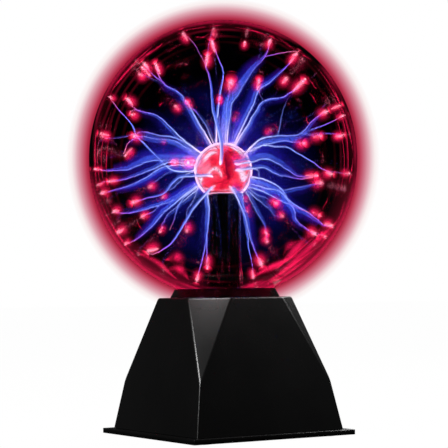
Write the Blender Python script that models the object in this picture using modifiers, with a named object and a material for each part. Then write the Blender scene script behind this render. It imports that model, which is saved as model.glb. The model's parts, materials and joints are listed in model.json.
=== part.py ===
"""Plasma ball: a gas-filled glass globe with a central electrode, on a faceted black base that holds its driver.

The model is in metres with +Z up. Its origin is at the centre of the four feet, on the table. The front is -Y, and the
switch and the power socket are at the back, +Y.
"""

import math

import bmesh
import bpy
from mathutils import Matrix, Vector

MM = 0.001
GAP = 0.3 * MM  # clearance between pieces that touch

# Base: a square plate on four feet, and a pyramid with its corners cut off towards the top.
FOOT_STAND = 1.0 * MM  # how far the feet lift the plate
FOOT_RADIUS = 7.0 * MM
PLATE_HALF = 68.2 * MM
PLATE_THICK = 3.6 * MM
BODY_HALF_BOTTOM = 62.1 * MM
BODY_HALF_TOP = 45.0 * MM
BODY_HEIGHT = 97.4 * MM
FACET_CUT = 23.2 * MM  # what each corner facet takes off a top edge
FACET_DEPTH = 62.5 * MM  # from the top down to the facet's point
WALL = 2.5 * MM
PLATE_BOTTOM = FOOT_STAND
PLATE_TOP = PLATE_BOTTOM + PLATE_THICK
BODY_BOTTOM = PLATE_TOP + GAP
BODY_TOP = PLATE_TOP + BODY_HEIGHT
CORNER = 53.0 * MM  # feet and case screws, along X and Y

# Globe: slightly taller than wide, with a neck that goes down into the base.
GLOBE_RADIUS = 100.0 * MM
GLOBE_HALF_HEIGHT = 103.4 * MM
GLOBE_WALL = 2.0 * MM
GLOBE_CENTRE = BODY_TOP + 103.0 * MM
NECK_RADIUS = 20.0 * MM
NECK_BOTTOM = BODY_TOP - 20.0 * MM
NECK_BLEND = 26.0 * MM  # where the globe starts to turn into the neck

# Electrode: a glass ball with a flat underside, on a glass stem.
BALL_RADIUS = 21.5 * MM
BALL_CENTRE = GLOBE_CENTRE - 9.0 * MM
BALL_CUT = BALL_CENTRE - 16.3 * MM
STEM_RADIUS = 12.5 * MM
STEM_FOOT_RADIUS = 14.4 * MM
STEM_WALL = 1.2 * MM

# Collar, gasket and bushing between the globe and the base.
COLLAR_TOP = BODY_TOP + 6.4 * MM
COLLAR_RADIUS_TOP = 37.6 * MM
COLLAR_RADIUS_BOTTOM = 40.6 * MM
SEAT_INNER = 28.0 * MM
SEAT_OUTER = 34.5 * MM
GASKET_THICK = 1.2 * MM
TOP_HOLE = 24.0 * MM

# Driver board, held on four posts of the bottom plate.
BOARD_BOTTOM = PLATE_TOP + 6.0 * MM
BOARD_THICK = 1.6 * MM
BOARD_TOP = BOARD_BOTTOM + BOARD_THICK
BOARD_SIZE = Vector((84.0, 70.0)) * MM
BOARD_CENTRE = Vector((0.0, 21.0)) * MM
BOARD_SCREWS = Vector((38.0, 31.0)) * MM  # from the board's centre
SEATED = BOARD_TOP + GAP  # the underside of what is soldered on

# Rear panel: power socket, three-position slide switch and microphone.
SOCKET_X = 20.0 * MM
SOCKET_SIZE = Vector((9.0, 13.5, 11.0)) * MM
SOCKET_FRONT = 58.6 * MM
SOCKET_BORE = 3.2 * MM
SWITCH_X = -24.0 * MM
SWITCH_SIZE = Vector((12.5, 6.5, 6.0)) * MM
SWITCH_FRONT = 56.3 * MM
SWITCH_STEP = 2.0 * MM  # from one position to the next
LEVER_SIZE = Vector((3.0, 7.6, 2.4)) * MM
LEVER_TIP = 62.4 * MM
MICROPHONE_RADIUS = 4.7 * MM
MICROPHONE_FRONT = 56.5 * MM

PARTS = "plasma_ball"
CUTTERS = "cutters"


# ---------------------------------------------------------------------------------------------- tools


def clear_scene():
    for obj in list(bpy.data.objects):
        bpy.data.objects.remove(obj)


def collection(name):
    found = bpy.data.collections.get(name)
    if found is None:
        found = bpy.data.collections.new(name)
        bpy.context.scene.collection.children.link(found)
    return found


def material(name, colour, roughness, metallic=0.0, transmission=0.0):
    """A plain Principled material, made once."""
    found = bpy.data.materials.get(name)
    if found:
        return found
    made = bpy.data.materials.new(name)
    made.use_nodes = True
    shader = made.node_tree.nodes["Principled BSDF"]
    shader.inputs["Base Color"].default_value = (*colour, 1.0)
    shader.inputs["Roughness"].default_value = roughness
    shader.inputs["Metallic"].default_value = metallic
    shader.inputs["Transmission Weight"].default_value = transmission
    made.diffuse_color = (*colour, 1.0)
    return made


def glass():
    return material("globe_glass", (0.03, 0.02, 0.03), 0.02, transmission=0.9)


def black_plastic():
    return material("black_plastic", (0.012, 0.012, 0.013), 0.38)


def rubber():
    return material("black_rubber", (0.02, 0.02, 0.02), 0.8)


def steel():
    return material("zinc_steel", (0.62, 0.63, 0.65), 0.3, 1.0)


def brass():
    return material("brass", (0.78, 0.6, 0.28), 0.3, 1.0)


def aluminium():
    return material("aluminium", (0.75, 0.76, 0.78), 0.35, 1.0)


def ferrite():
    return material("ferrite", (0.06, 0.06, 0.065), 0.6)


def circuit_green():
    return material("circuit_green", (0.03, 0.2, 0.07), 0.4)


def copper():
    return material("enamelled_copper", (0.72, 0.3, 0.12), 0.3, 1.0)


def add(obj, surface=None, group=PARTS):
    collection(group).objects.link(obj)
    if surface:
        obj.data.materials.append(surface)
    return obj


def mesh_object(name, bm, surface, group=PARTS):
    mesh = bpy.data.meshes.new(name)
    bmesh.ops.recalc_face_normals(bm, faces=bm.faces)
    bm.to_mesh(mesh)
    bm.free()
    mesh.shade_smooth()
    mesh.set_sharp_from_angle(angle=math.radians(30))
    return add(bpy.data.objects.new(name, mesh), surface, group)


def bevel(obj, width, segments=1, angle=30.0):
    modifier = obj.modifiers.new("edges", "BEVEL")
    modifier.width = width
    modifier.segments = segments
    modifier.limit_method = "ANGLE"
    modifier.angle_limit = math.radians(angle)
    return obj


def block(name, size, centre, surface, group=PARTS, edge=0.0):
    """A box of this size about its centre, its edges broken by edge."""
    bm = bmesh.new()
    bmesh.ops.create_cube(bm, size=1.0, matrix=Matrix.Diagonal((*size, 1.0)))
    obj = mesh_object(name, bm, surface, group)
    obj.location = centre
    if edge:
        bevel(obj, edge)
    return obj


def rod(name, radius, length, base, surface, group=PARTS, along="Z", sides=16, edge=0.0):
    """A cylinder that starts at base and runs in the + direction of an axis."""
    turn = {"X": (0, math.pi / 2, 0), "Y": (-math.pi / 2, 0, 0), "Z": (0, 0, 0)}[along]
    bm = bmesh.new()
    bmesh.ops.create_cone(
        bm, cap_ends=True, segments=sides, radius1=radius, radius2=radius, depth=length,
        matrix=Matrix.Translation((0, 0, length / 2)),
    )
    obj = mesh_object(name, bm, surface, group)
    obj.location = base
    obj.rotation_euler = turn
    if edge:
        bevel(obj, edge, angle=50.0)
    return obj


def turned(name, profile, surface, steps=32, closed=True, centre=(0, 0, 0), group=PARTS):
    """A profile of (radius, height) points turned about Z. It runs down the outer side first.

    A closed profile is a ring's section. An open one starts and ends on the axis.
    """
    bm = bmesh.new()
    points = [bm.verts.new((radius, 0.0, height)) for radius, height in profile]
    ends = list(zip(points, points[1:]))
    if closed:
        ends.append((points[-1], points[0]))
    for pair in ends:
        bm.edges.new(pair)
    mesh = bpy.data.meshes.new(name)
    bm.to_mesh(mesh)
    bm.free()
    obj = add(bpy.data.objects.new(name, mesh), surface, group)
    obj.location = centre
    screw = obj.modifiers.new("turn", "SCREW")
    screw.steps = steps
    screw.render_steps = steps
    screw.use_merge_vertices = True
    screw.merge_threshold = 0.00001
    screw.use_smooth_shade = True
    return obj


def outline(name, points, thick, surface):
    """A flat closed outline in X and Y, as thick as given about Z 0."""
    curve = bpy.data.curves.new(name, "CURVE")
    curve.dimensions = "2D"
    curve.fill_mode = "BOTH"
    curve.extrude = thick / 2
    spline = curve.splines.new("POLY")
    spline.points.add(len(points) - 1)
    for point, (x, y) in zip(spline.points, points):
        point.co = (x, y, 0.0, 1.0)
    spline.use_cyclic_u = True
    return add(bpy.data.objects.new(name, curve), surface)


def as_mesh(obj):
    """The same piece with its curve made a welded mesh, so that it can be cut."""
    bpy.context.view_layer.update()
    evaluated = obj.evaluated_get(bpy.context.evaluated_depsgraph_get())
    mesh = bpy.data.meshes.new_from_object(evaluated)
    bm = bmesh.new()
    bm.from_mesh(mesh)
    bmesh.ops.remove_doubles(bm, verts=bm.verts, dist=0.000001)
    bm.to_mesh(mesh)
    bm.free()
    name, place = obj.name, obj.matrix_world.copy()
    bpy.data.objects.remove(obj)
    made = add(bpy.data.objects.new(name, mesh))
    made.matrix_world = place
    return made


def combine(obj, other, operation):
    """A live Boolean with a helper piece, which is then only a guide."""
    modifier = obj.modifiers.new(other.name, "BOOLEAN")
    modifier.operation = operation
    modifier.object = other
    other.hide_render = True
    other.display_type = "WIRE"


def cut(obj, *cutters):
    for cutter in cutters:
        combine(obj, cutter, "DIFFERENCE")


def join(obj, *helpers):
    for helper in helpers:
        combine(obj, helper, "UNION")


def corners(x, y):
    """(number, place) of the four points at +-x, +-y, counted from the front left."""
    places = [(-x, -y), (x, -y), (x, y), (-x, y)]
    return list(enumerate((Vector((*place, 0.0)) for place in places), start=1))


# ---------------------------------------------------------------------------------------------- glass


def ellipse_height(radius, width=GLOBE_RADIUS, half_height=GLOBE_HALF_HEIGHT):
    """Height of the globe's underside at this distance from the axis."""
    return GLOBE_CENTRE - half_height * math.sqrt(1.0 - (radius / width) ** 2)


def globe_side(inset, rings):
    """Points from the top down one side of the globe wall, inset from its outside, to the end of the neck."""
    width, half_height = GLOBE_RADIUS - inset, GLOBE_HALF_HEIGHT - inset
    blend, neck = NECK_BLEND - inset, NECK_RADIUS - inset
    last = math.pi - math.asin(blend / width)
    points = []
    for ring in range(rings + 1):
        angle = last * ring / rings
        points.append((width * math.sin(angle), GLOBE_CENTRE + half_height * math.cos(angle)))
    start = Vector(points[-1])
    end = Vector((neck, BODY_TOP - 1.0 * MM))
    bend = Vector((neck + 0.6 * MM, start.y - 0.4 * MM))
    for share in (0.33, 0.67, 1.0):
        points.append(tuple(start.lerp(bend, share).lerp(bend.lerp(end, share), share)))
    points.append((neck, NECK_BOTTOM))
    return points


def globe_glass():
    outside = globe_side(0.0, 22)
    inside = globe_side(GLOBE_WALL, 22)
    return turned("globe_glass", outside + inside[::-1], glass(), steps=40, closed=False)


def electrode_side(inset, rings):
    """Points from the top of the ball down to the flared end of the stem, inset from the outside."""
    radius = BALL_RADIUS - inset
    floor = BALL_CUT + inset
    last = math.acos((floor - BALL_CENTRE) / radius)
    points = []
    for ring in range(rings + 1):
        angle = last * ring / rings
        points.append((radius * math.sin(angle), BALL_CENTRE + radius * math.cos(angle)))
    stem = STEM_RADIUS - inset
    foot = STEM_FOOT_RADIUS - inset
    flare = NECK_RADIUS - GLOBE_WALL - GAP - inset
    points.append((stem, floor))
    points.append((stem, BODY_TOP + 36 * MM))
    points.append(((stem + foot) / 2, BODY_TOP + 14 * MM))
    points.append((foot, BODY_TOP - 4 * MM))
    points.append((foot + 0.8 * MM, NECK_BOTTOM + 7 * MM))
    points.append((flare, NECK_BOTTOM + 2 * MM))
    points.append((flare, NECK_BOTTOM))
    return points


def inner_glass():
    outside = electrode_side(0.0, 12)
    inside = electrode_side(STEM_WALL, 12)
    return turned("inner_glass", outside + inside[::-1], glass(), steps=28, closed=False)


def exhaust_tip():
    """The sealed end of the tube that the globe was pumped out through."""
    height = 11 * MM
    radius = 1.5 * MM
    profile = [(0, 0), (radius, 0), (radius, -0.7 * height), (0.6 * radius, -0.88 * height), (0, -height)]
    centre = (0, STEM_FOOT_RADIUS + 1.7 * MM, NECK_BOTTOM - GAP)
    return turned("exhaust_tip", profile, glass(), steps=12, closed=False, centre=centre)


def electrode_wool():
    """The ball of steel wool that spreads the voltage over the inside of the glass ball."""
    radius = BALL_RADIUS - STEM_WALL - 0.7 * MM
    floor = BALL_CUT + STEM_WALL + 0.8 * MM
    last = math.acos((floor - BALL_CENTRE) / radius)
    profile = [
        (radius * math.sin(last * ring / 10), BALL_CENTRE + radius * math.cos(last * ring / 10))
        for ring in range(11)
    ]
    profile.append((0, floor))
    return turned("electrode_wool", profile, steel(), steps=24, closed=False)


def stem_sleeve():
    """The black insulating tube inside the stem."""
    outer = STEM_RADIUS - STEM_WALL - GAP
    inner = outer - 2.0 * MM
    top = BALL_CUT
    bottom = NECK_BOTTOM - 2 * MM
    profile = [(outer, top), (outer, bottom), (inner, bottom), (inner, top)]
    return turned("stem_sleeve", profile, black_plastic(), steps=24)


def electrode_rod():
    bottom = NECK_BOTTOM - 10 * MM
    length = BALL_CUT + STEM_WALL - bottom
    return rod("electrode_rod", 1.5 * MM, length, (0, 0, bottom), brass(), sides=12)


def contact_clip():
    """The brass tube that grips the end of the electrode rod."""
    top = NECK_BOTTOM - 4 * MM
    bottom = NECK_BOTTOM - 16 * MM
    floor = bottom + 2 * MM
    outer = 3.4 * MM
    inner = 1.5 * MM + GAP
    profile = [(0, floor), (inner, floor), (inner, top), (outer, top), (outer, bottom), (0, bottom)]
    return turned("contact_clip", profile, brass(), steps=16, closed=False)


# ---------------------------------------------------------------------------------------------- base


def side_half(height, inset=0.0):
    """Half the width of the pyramid at this height, inset from its outside."""
    slope = (BODY_HALF_BOTTOM - BODY_HALF_TOP) / BODY_HEIGHT
    half = BODY_HALF_BOTTOM - slope * (height - PLATE_TOP)
    return half - inset * math.hypot(1.0, slope)


def pyramid(name, inset, bottom, top, surface=None, group=PARTS):
    """The pyramid with its four corner facets, every side inset, as a closed solid."""
    depth = top - bottom
    bm = bmesh.new()
    bmesh.ops.create_cone(
        bm, cap_ends=True, segments=4, depth=depth,
        radius1=side_half(bottom, inset) * math.sqrt(2), radius2=side_half(top, inset) * math.sqrt(2),
        matrix=Matrix.Translation((0, 0, bottom + depth / 2)) @ Matrix.Rotation(math.pi / 4, 4, "Z"),
    )
    point_height = BODY_TOP - FACET_DEPTH
    point = Vector((side_half(point_height), side_half(point_height), point_height))
    first = Vector((BODY_HALF_TOP, BODY_HALF_TOP - FACET_CUT, BODY_TOP))
    second = Vector((BODY_HALF_TOP - FACET_CUT, BODY_HALF_TOP, BODY_TOP))
    normal = (first - point).cross(second - point).normalized()
    if normal.x < 0:
        normal.negate()
    for quarter in range(4):
        turn = Matrix.Rotation(quarter * math.pi / 2, 3, "Z")
        cut_edges = bmesh.ops.bisect_plane(
            bm, geom=[*bm.verts, *bm.edges, *bm.faces], dist=0.000001,
            plane_co=turn @ (point - normal * inset), plane_no=turn @ normal, clear_outer=True,
        )["geom_cut"]
        edges = [item for item in cut_edges if isinstance(item, bmesh.types.BMEdge)]
        bmesh.ops.contextual_create(bm, geom=edges)
    return mesh_object(name, bm, surface, group)


def base_housing():
    housing = bevel(pyramid("base_housing", 0.0, BODY_BOTTOM, BODY_TOP, black_plastic()), 0.8 * MM, 2, 25.0)
    cut(housing, pyramid("housing_hollow", WALL, BODY_BOTTOM - 5 * MM, BODY_TOP - WALL, group=CUTTERS))
    boss_bottom = PLATE_TOP + 3.0 * MM + GAP
    for number, place in corners(CORNER, CORNER):
        boss = rod(
            f"boss_{number}", 4.5 * MM, 24 * MM, place + Vector((0, 0, boss_bottom)), None, CUTTERS,
        )
        hole = rod(
            f"boss_hole_{number}", 1.7 * MM, 15 * MM, place + Vector((0, 0, boss_bottom - 1 * MM)), None, CUTTERS,
            sides=12,
        )
        join(housing, boss)
        cut(housing, hole)
    neck_hole = rod("neck_hole", TOP_HOLE, 10 * MM, (0, 0, BODY_TOP - 6 * MM), None, CUTTERS, sides=36)
    socket_hole = block(
        "socket_hole", (SOCKET_SIZE.x + 2 * GAP, 14 * MM, SOCKET_SIZE.z + 2 * GAP),
        (SOCKET_X, 60 * MM, SEATED + SOCKET_SIZE.z / 2), None, CUTTERS,
    )
    switch_slot = block(
        "switch_slot", (LEVER_SIZE.x + 2 * SWITCH_STEP + 1.8 * MM, 14 * MM, LEVER_SIZE.z + 2 * MM),
        (SWITCH_X, 60 * MM, SEATED + SWITCH_SIZE.z / 2), None, CUTTERS,
    )
    sound_hole = rod(
        "sound_hole", 1.0 * MM, 14 * MM, (0, 53 * MM, SEATED + MICROPHONE_RADIUS), None, CUTTERS, along="Y", sides=10,
    )
    cut(housing, neck_hole, socket_hole, switch_slot, sound_hole)
    return housing


def bottom_plate():
    plate = block(
        "bottom_plate", (2 * PLATE_HALF, 2 * PLATE_HALF, PLATE_THICK),
        (0, 0, (PLATE_BOTTOM + PLATE_TOP) / 2), black_plastic(), edge=0.5 * MM,
    )
    for number, place in corners(CORNER, CORNER):
        pad = rod(f"plate_pad_{number}", 6.0 * MM, 5 * MM, place + Vector((0, 0, PLATE_TOP - 2 * MM)), None, CUTTERS)
        top = PLATE_TOP + 5 * MM
        steps = [
            (0, top), (1.9 * MM, top), (1.9 * MM, PLATE_BOTTOM + 4.1 * MM), (3.4 * MM, PLATE_BOTTOM + 4.1 * MM),
            (3.4 * MM, PLATE_BOTTOM + 1.6 * MM), (FOOT_RADIUS + GAP, PLATE_BOTTOM + 1.6 * MM),
            (FOOT_RADIUS + GAP, PLATE_BOTTOM - 2 * MM), (0, PLATE_BOTTOM - 2 * MM),
        ]
        recess = turned(f"foot_recess_{number}", steps, None, 24, closed=False, centre=place, group=CUTTERS)
        join(plate, pad)
        cut(plate, recess)
    for number, place in corners(*BOARD_SCREWS):
        place = place + Vector((*BOARD_CENTRE, PLATE_TOP - 2 * MM))
        post = rod(f"board_post_{number}", 3.0 * MM, 8 * MM - GAP, place, None, CUTTERS)
        hole = rod(f"post_hole_{number}", 1.2 * MM, 9 * MM, place + Vector((0, 0, 2.5 * MM)), None, CUTTERS, sides=10)
        join(plate, post)
        cut(plate, hole)
    for row in range(5):
        place = (0, (-44 + 6 * row) * MM, PLATE_BOTTOM)
        cut(plate, block(f"vent_{row}", (36 * MM, 2.4 * MM, 12 * MM), place, None, CUTTERS))
    return plate


def rubber_feet():
    for number, place in corners(CORNER, CORNER):
        height = PLATE_BOTTOM + 1.6 * MM - GAP
        profile = [
            (0, height), (FOOT_RADIUS, height), (FOOT_RADIUS, 0.5 * MM), (FOOT_RADIUS - 0.5 * MM, 0), (0, 0),
        ]
        turned(f"rubber_foot_{number}", profile, rubber(), steps=24, closed=False, centre=place)


def screw(name, head_radius, head, shank_radius, shank, place, upward):
    """A pan-head screw. Its head starts at place, and its shank runs up or down from there."""
    way = 1 if upward else -1
    tip = head + shank
    profile = [
        (0, 0), (0.75 * head_radius, 0), (head_radius, way * 0.45 * head), (head_radius, way * head),
        (shank_radius, way * head), (shank_radius, way * (tip - 1.2 * MM)), (0, way * tip),
    ]
    return turned(name, profile[::-1] if upward else profile, steel(), steps=14, closed=False, centre=place)


def case_screws():
    for number, place in corners(CORNER, CORNER):
        start = place + Vector((0, 0, PLATE_BOTTOM + 1.9 * MM))
        screw(f"case_screw_{number}", 3.0 * MM, 1.9 * MM, 1.35 * MM, 14.5 * MM, start, upward=True)


def collar_seat(below, count=5):
    """Points on a surface that lies this far under the globe, from the seat's outer edge in."""
    radii = [SEAT_OUTER + (SEAT_INNER - SEAT_OUTER) * step / count for step in range(count + 1)]
    return [(radius, ellipse_height(radius) - below) for radius in radii]


def globe_collar():
    """The ring that the globe's underside sinks into."""
    lip = COLLAR_RADIUS_TOP - 1.2 * MM
    bottom = BODY_TOP + GAP
    profile = [
        (COLLAR_RADIUS_TOP - 0.3 * MM, COLLAR_TOP), (COLLAR_RADIUS_TOP, COLLAR_TOP - 0.4 * MM),
        (COLLAR_RADIUS_BOTTOM, bottom), (SEAT_INNER - 1.5 * MM, bottom),
        (SEAT_INNER - 1.5 * MM, ellipse_height(SEAT_INNER) - GASKET_THICK - 2 * GAP),
    ]
    profile += collar_seat(GASKET_THICK + 2 * GAP)[::-1]
    profile += [(lip, ellipse_height(SEAT_OUTER) - 1.0 * MM), (lip, COLLAR_TOP)]
    return turned("globe_collar", profile, black_plastic(), steps=48)


def seat_gasket():
    profile = collar_seat(GAP + GASKET_THICK) + collar_seat(GAP)[::-1]
    return turned("seat_gasket", profile, rubber(), steps=36)


def neck_bushing():
    outer = TOP_HOLE - GAP - 0.1 * MM
    inner = NECK_RADIUS + GAP
    flange = TOP_HOLE + 3 * MM
    top = BODY_TOP - 1.2 * MM
    under = BODY_TOP - WALL - GAP
    bottom = under - 3 * MM
    profile = [(outer, top), (outer, under), (flange, under), (flange, bottom), (inner, bottom), (inner, top)]
    return turned("neck_bushing", profile, rubber(), steps=40)


# ---------------------------------------------------------------------------------------------- driver


def circuit_board():
    board = block(
        "circuit_board", (*BOARD_SIZE, BOARD_THICK),
        (*BOARD_CENTRE, (BOARD_BOTTOM + BOARD_TOP) / 2), circuit_green(),
    )
    for number, place in corners(*BOARD_SCREWS):
        base = place + Vector((*BOARD_CENTRE, BOARD_BOTTOM - 2 * MM))
        cut(board, rod(f"board_hole_{number}", 1.6 * MM, 6 * MM, base, None, CUTTERS, sides=12))
        start = place + Vector((*BOARD_CENTRE, BOARD_TOP + GAP + 1.7 * MM))
        screw(f"board_screw_{number}", 2.6 * MM, 1.7 * MM, 0.85 * MM, 6.5 * MM, start, upward=False)
    return board


CORE_LEGS = (-22 * MM, 10 * MM)  # X of the two legs
CORE_Y = 14 * MM
CORE_THICK = 8 * MM
CORE_BOTTOM = SEATED + 0.3 * MM
CORE_HEIGHT = 40 * MM


def flyback_core():
    """Two U-shaped ferrite halves, whose legs meet inside the coils."""
    left, right = CORE_LEGS[0] - CORE_THICK / 2, CORE_LEGS[1] + CORE_THICK / 2
    reach = CORE_HEIGHT / 2 - GAP / 2
    shape = [
        (left, 0), (right, 0), (right, reach), (right - CORE_THICK, reach), (right - CORE_THICK, CORE_THICK),
        (left + CORE_THICK, CORE_THICK), (left + CORE_THICK, reach), (left, reach),
    ]
    halves = (("core_lower", CORE_BOTTOM, math.pi / 2), ("core_upper", CORE_BOTTOM + CORE_HEIGHT, -math.pi / 2))
    for name, height, turn in halves:
        half = outline(name, shape, CORE_THICK, ferrite())
        half.rotation_euler = (turn, 0, 0)
        half.location = (0, CORE_Y, height)


def coil(name, x, radius, surface, sides):
    """A winding around one leg of the core."""
    bottom = CORE_BOTTOM + CORE_THICK + GAP
    height = CORE_HEIGHT - 2 * CORE_THICK - 2 * GAP
    winding = rod(name, radius, height, (x, CORE_Y, bottom), surface, sides=sides, edge=0.6 * MM)
    window = CORE_THICK + 2 * GAP
    cut(winding, block(f"{name}_leg", (window, window, 40 * MM), (x, CORE_Y, bottom + height / 2), None, CUTTERS))
    return winding


def curve_point(start, first, second, end, share):
    """A point on the cubic curve between two ends and their two handles."""
    rest = 1.0 - share
    return (
        start * rest**3 + first * (3 * rest**2 * share) + second * (3 * rest * share**2) + end * share**3
    )


def high_voltage_lead():
    """The silicone lead from the secondary coil up to the clip on the electrode rod."""
    start = Vector((CORE_LEGS[0], CORE_Y - 8.5 * MM, CORE_BOTTOM + CORE_HEIGHT - CORE_THICK + GAP))
    end = Vector((0, 0, NECK_BOTTOM - 16 * MM - GAP))
    handles = (start + Vector((0, 0, 22 * MM)), end - Vector((0, 0, 24 * MM)))
    lead = bpy.data.curves.new("high_voltage_lead", "CURVE")
    lead.dimensions = "3D"
    lead.bevel_depth = 1.6 * MM
    lead.bevel_resolution = 2
    lead.use_fill_caps = True
    spline = lead.splines.new("POLY")
    count = 16
    spline.points.add(count)
    for step, point in enumerate(spline.points):
        point.co = (*curve_point(start, *handles, end, step / count), 1.0)
    return add(bpy.data.objects.new("high_voltage_lead", lead), material("red_silicone", (0.5, 0.02, 0.02), 0.5))


SINK_FACE = 26 * MM  # X of the flat side that carries the transistor
SINK_FRONT = -5 * MM
TRANSISTOR_Y = 5 * MM
TRANSISTOR_HOLE = SEATED + 16 * MM


def heatsink():
    """A finned strip of aluminium standing on the board, with the transistor on its flat side."""
    base, reach, fin, pitch, fins = 2.5 * MM, 14 * MM, 1.4 * MM, 4.65 * MM, 5
    shape = [(0, 0), (reach, 0)]
    for number in range(fins):
        start = number * pitch
        shape.append((reach, start + fin))
        if number < fins - 1:
            shape += [(base, start + fin), (base, start + pitch), (reach, start + pitch)]
    shape.append((0, (fins - 1) * pitch + fin))
    height = 22 * MM
    sink = outline("heatsink", shape, height, aluminium())
    sink.location = (SINK_FACE, SINK_FRONT, SEATED + height / 2)
    sink = as_mesh(sink)
    hole_start = (SINK_FACE - 4 * MM, TRANSISTOR_Y, TRANSISTOR_HOLE)
    cut(sink, rod("sink_hole", 1.7 * MM, 10 * MM, hole_start, None, CUTTERS, "X", 12))
    return sink


def power_transistor():
    case, tab = Vector((4.2, 10.0, 9.0)) * MM, Vector((1.3, 10.0, 15.0)) * MM
    back = SINK_FACE - GAP
    bottom = SEATED + 3.5 * MM
    body = block(
        "power_transistor", case, (back - case.x / 2, TRANSISTOR_Y, bottom + case.z / 2),
        material("black_epoxy", (0.03, 0.03, 0.03), 0.5),
    )
    join(body, block("tab", tab, (back - tab.x / 2, TRANSISTOR_Y, bottom + tab.z / 2), None, CUTTERS))
    hole_start = Vector((back - 2 * tab.x, TRANSISTOR_Y, TRANSISTOR_HOLE))
    cut(body, rod("tab_hole", 1.7 * MM, 4 * tab.x, hole_start, None, CUTTERS, "X", 12))
    head = 1.7 * MM
    head_start = Vector((back - tab.x - GAP - head, TRANSISTOR_Y, TRANSISTOR_HOLE))
    fixing = screw("transistor_screw", 2.6 * MM, head, 1.3 * MM, 7 * MM, head_start, upward=True)
    fixing.rotation_euler = (0, math.pi / 2, 0)
    return body


def board_components():
    sleeve = material("capacitor_sleeve", (0.02, 0.03, 0.12), 0.35)
    film = material("film_capacitor_yellow", (0.72, 0.5, 0.06), 0.45)
    epoxy = material("black_epoxy", (0.03, 0.03, 0.03), 0.5)
    rod("capacitor_large", 6.3 * MM, 20 * MM, (30 * MM, 27 * MM, SEATED), sleeve, sides=20, edge=0.7 * MM)
    rod("capacitor_small", 4.0 * MM, 11 * MM, (33 * MM, 41 * MM, SEATED), sleeve, sides=16, edge=0.5 * MM)
    block("film_capacitor", (13 * MM, 6 * MM, 10 * MM), (6 * MM, 33 * MM, SEATED + 5 * MM), film, edge=0.8 * MM)
    block("timer_chip", (9.6 * MM, 6.4 * MM, 3.4 * MM), (-28 * MM, 38 * MM, SEATED + 1.7 * MM), epoxy)
    ring = bmesh.new()
    bmesh.ops.create_cone(
        ring, cap_ends=True, segments=20, radius1=8 * MM, radius2=8 * MM, depth=6 * MM,
        matrix=Matrix.Translation((0, 0, 3 * MM)),
    )
    choke = bevel(mesh_object("choke", ring, copper()), 1.5 * MM, 1, 50.0)
    choke.location = (-9 * MM, 36 * MM, SEATED)
    cut(choke, rod("choke_hole", 3.4 * MM, 12 * MM, choke.location - Vector((0, 0, 3 * MM)), None, CUTTERS))
    rod(
        "microphone", MICROPHONE_RADIUS, 5.2 * MM, (0, MICROPHONE_FRONT - 5.2 * MM, SEATED + MICROPHONE_RADIUS),
        aluminium(), along="Y", sides=18, edge=0.4 * MM,
    )


def power_socket():
    """The round low-voltage inlet, with its centre pin."""
    centre = Vector((SOCKET_X, SOCKET_FRONT - SOCKET_SIZE.y / 2, SEATED + SOCKET_SIZE.z / 2))
    socket = block("dc_socket", SOCKET_SIZE, centre, black_plastic(), edge=0.4 * MM)
    depth = 10 * MM
    bore_start = Vector((SOCKET_X, SOCKET_FRONT - depth, SEATED + 6.4 * MM))
    cut(socket, rod("socket_bore", SOCKET_BORE, depth + 5 * MM, bore_start, None, CUTTERS, along="Y", sides=20))
    pin_start = bore_start + Vector((0, GAP, 0))
    rod("socket_pin", 1.0 * MM, depth - 2 * MM, pin_start, steel(), along="Y", sides=12, edge=0.3 * MM)


def slide_switch():
    """The three-position switch. The lever stands at its first position, on, and travels along +X."""
    middle = SEATED + SWITCH_SIZE.z / 2
    body = block(
        "switch_body", SWITCH_SIZE, (SWITCH_X, SWITCH_FRONT - SWITCH_SIZE.y / 2, middle), steel(), edge=0.3 * MM,
    )
    groove_width = LEVER_SIZE.x + 2 * SWITCH_STEP + 2 * GAP
    groove = block(
        "switch_groove", (groove_width, 4 * MM, LEVER_SIZE.z + 2 * GAP), (SWITCH_X, SWITCH_FRONT, middle), None,
        CUTTERS,
    )
    cut(body, groove)
    lever = block(
        "switch_lever", LEVER_SIZE, (SWITCH_X - SWITCH_STEP, LEVER_TIP - LEVER_SIZE.y / 2, middle), black_plastic(),
        edge=0.25 * MM,
    )
    return lever


def build():
    clear_scene()
    globe_glass()
    inner_glass()
    exhaust_tip()
    electrode_wool()
    stem_sleeve()
    electrode_rod()
    contact_clip()
    globe_collar()
    seat_gasket()
    neck_bushing()
    base_housing()
    bottom_plate()
    rubber_feet()
    case_screws()
    circuit_board()
    flyback_core()
    coil("secondary_coil", CORE_LEGS[0], 11.5 * MM, material("coil_potting", (0.03, 0.03, 0.03), 0.4), 24)
    coil("primary_coil", CORE_LEGS[1], 7.0 * MM, copper(), 20)
    high_voltage_lead()
    heatsink()
    power_transistor()
    board_components()
    power_socket()
    slide_switch()


build()
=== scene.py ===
"""Looks of a plasma ball: its glass globe, the discharge inside it, and the black base it stands on.

Lengths are in metres, with +Z up and the front at -Y, as in the engineered frame that every piece is built around.
"""

import json
import math
import random

import bmesh
import bpy
from bpy.props import FloatProperty, FloatVectorProperty, IntProperty, PointerProperty
from mathutils import Matrix, Vector, noise


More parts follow.
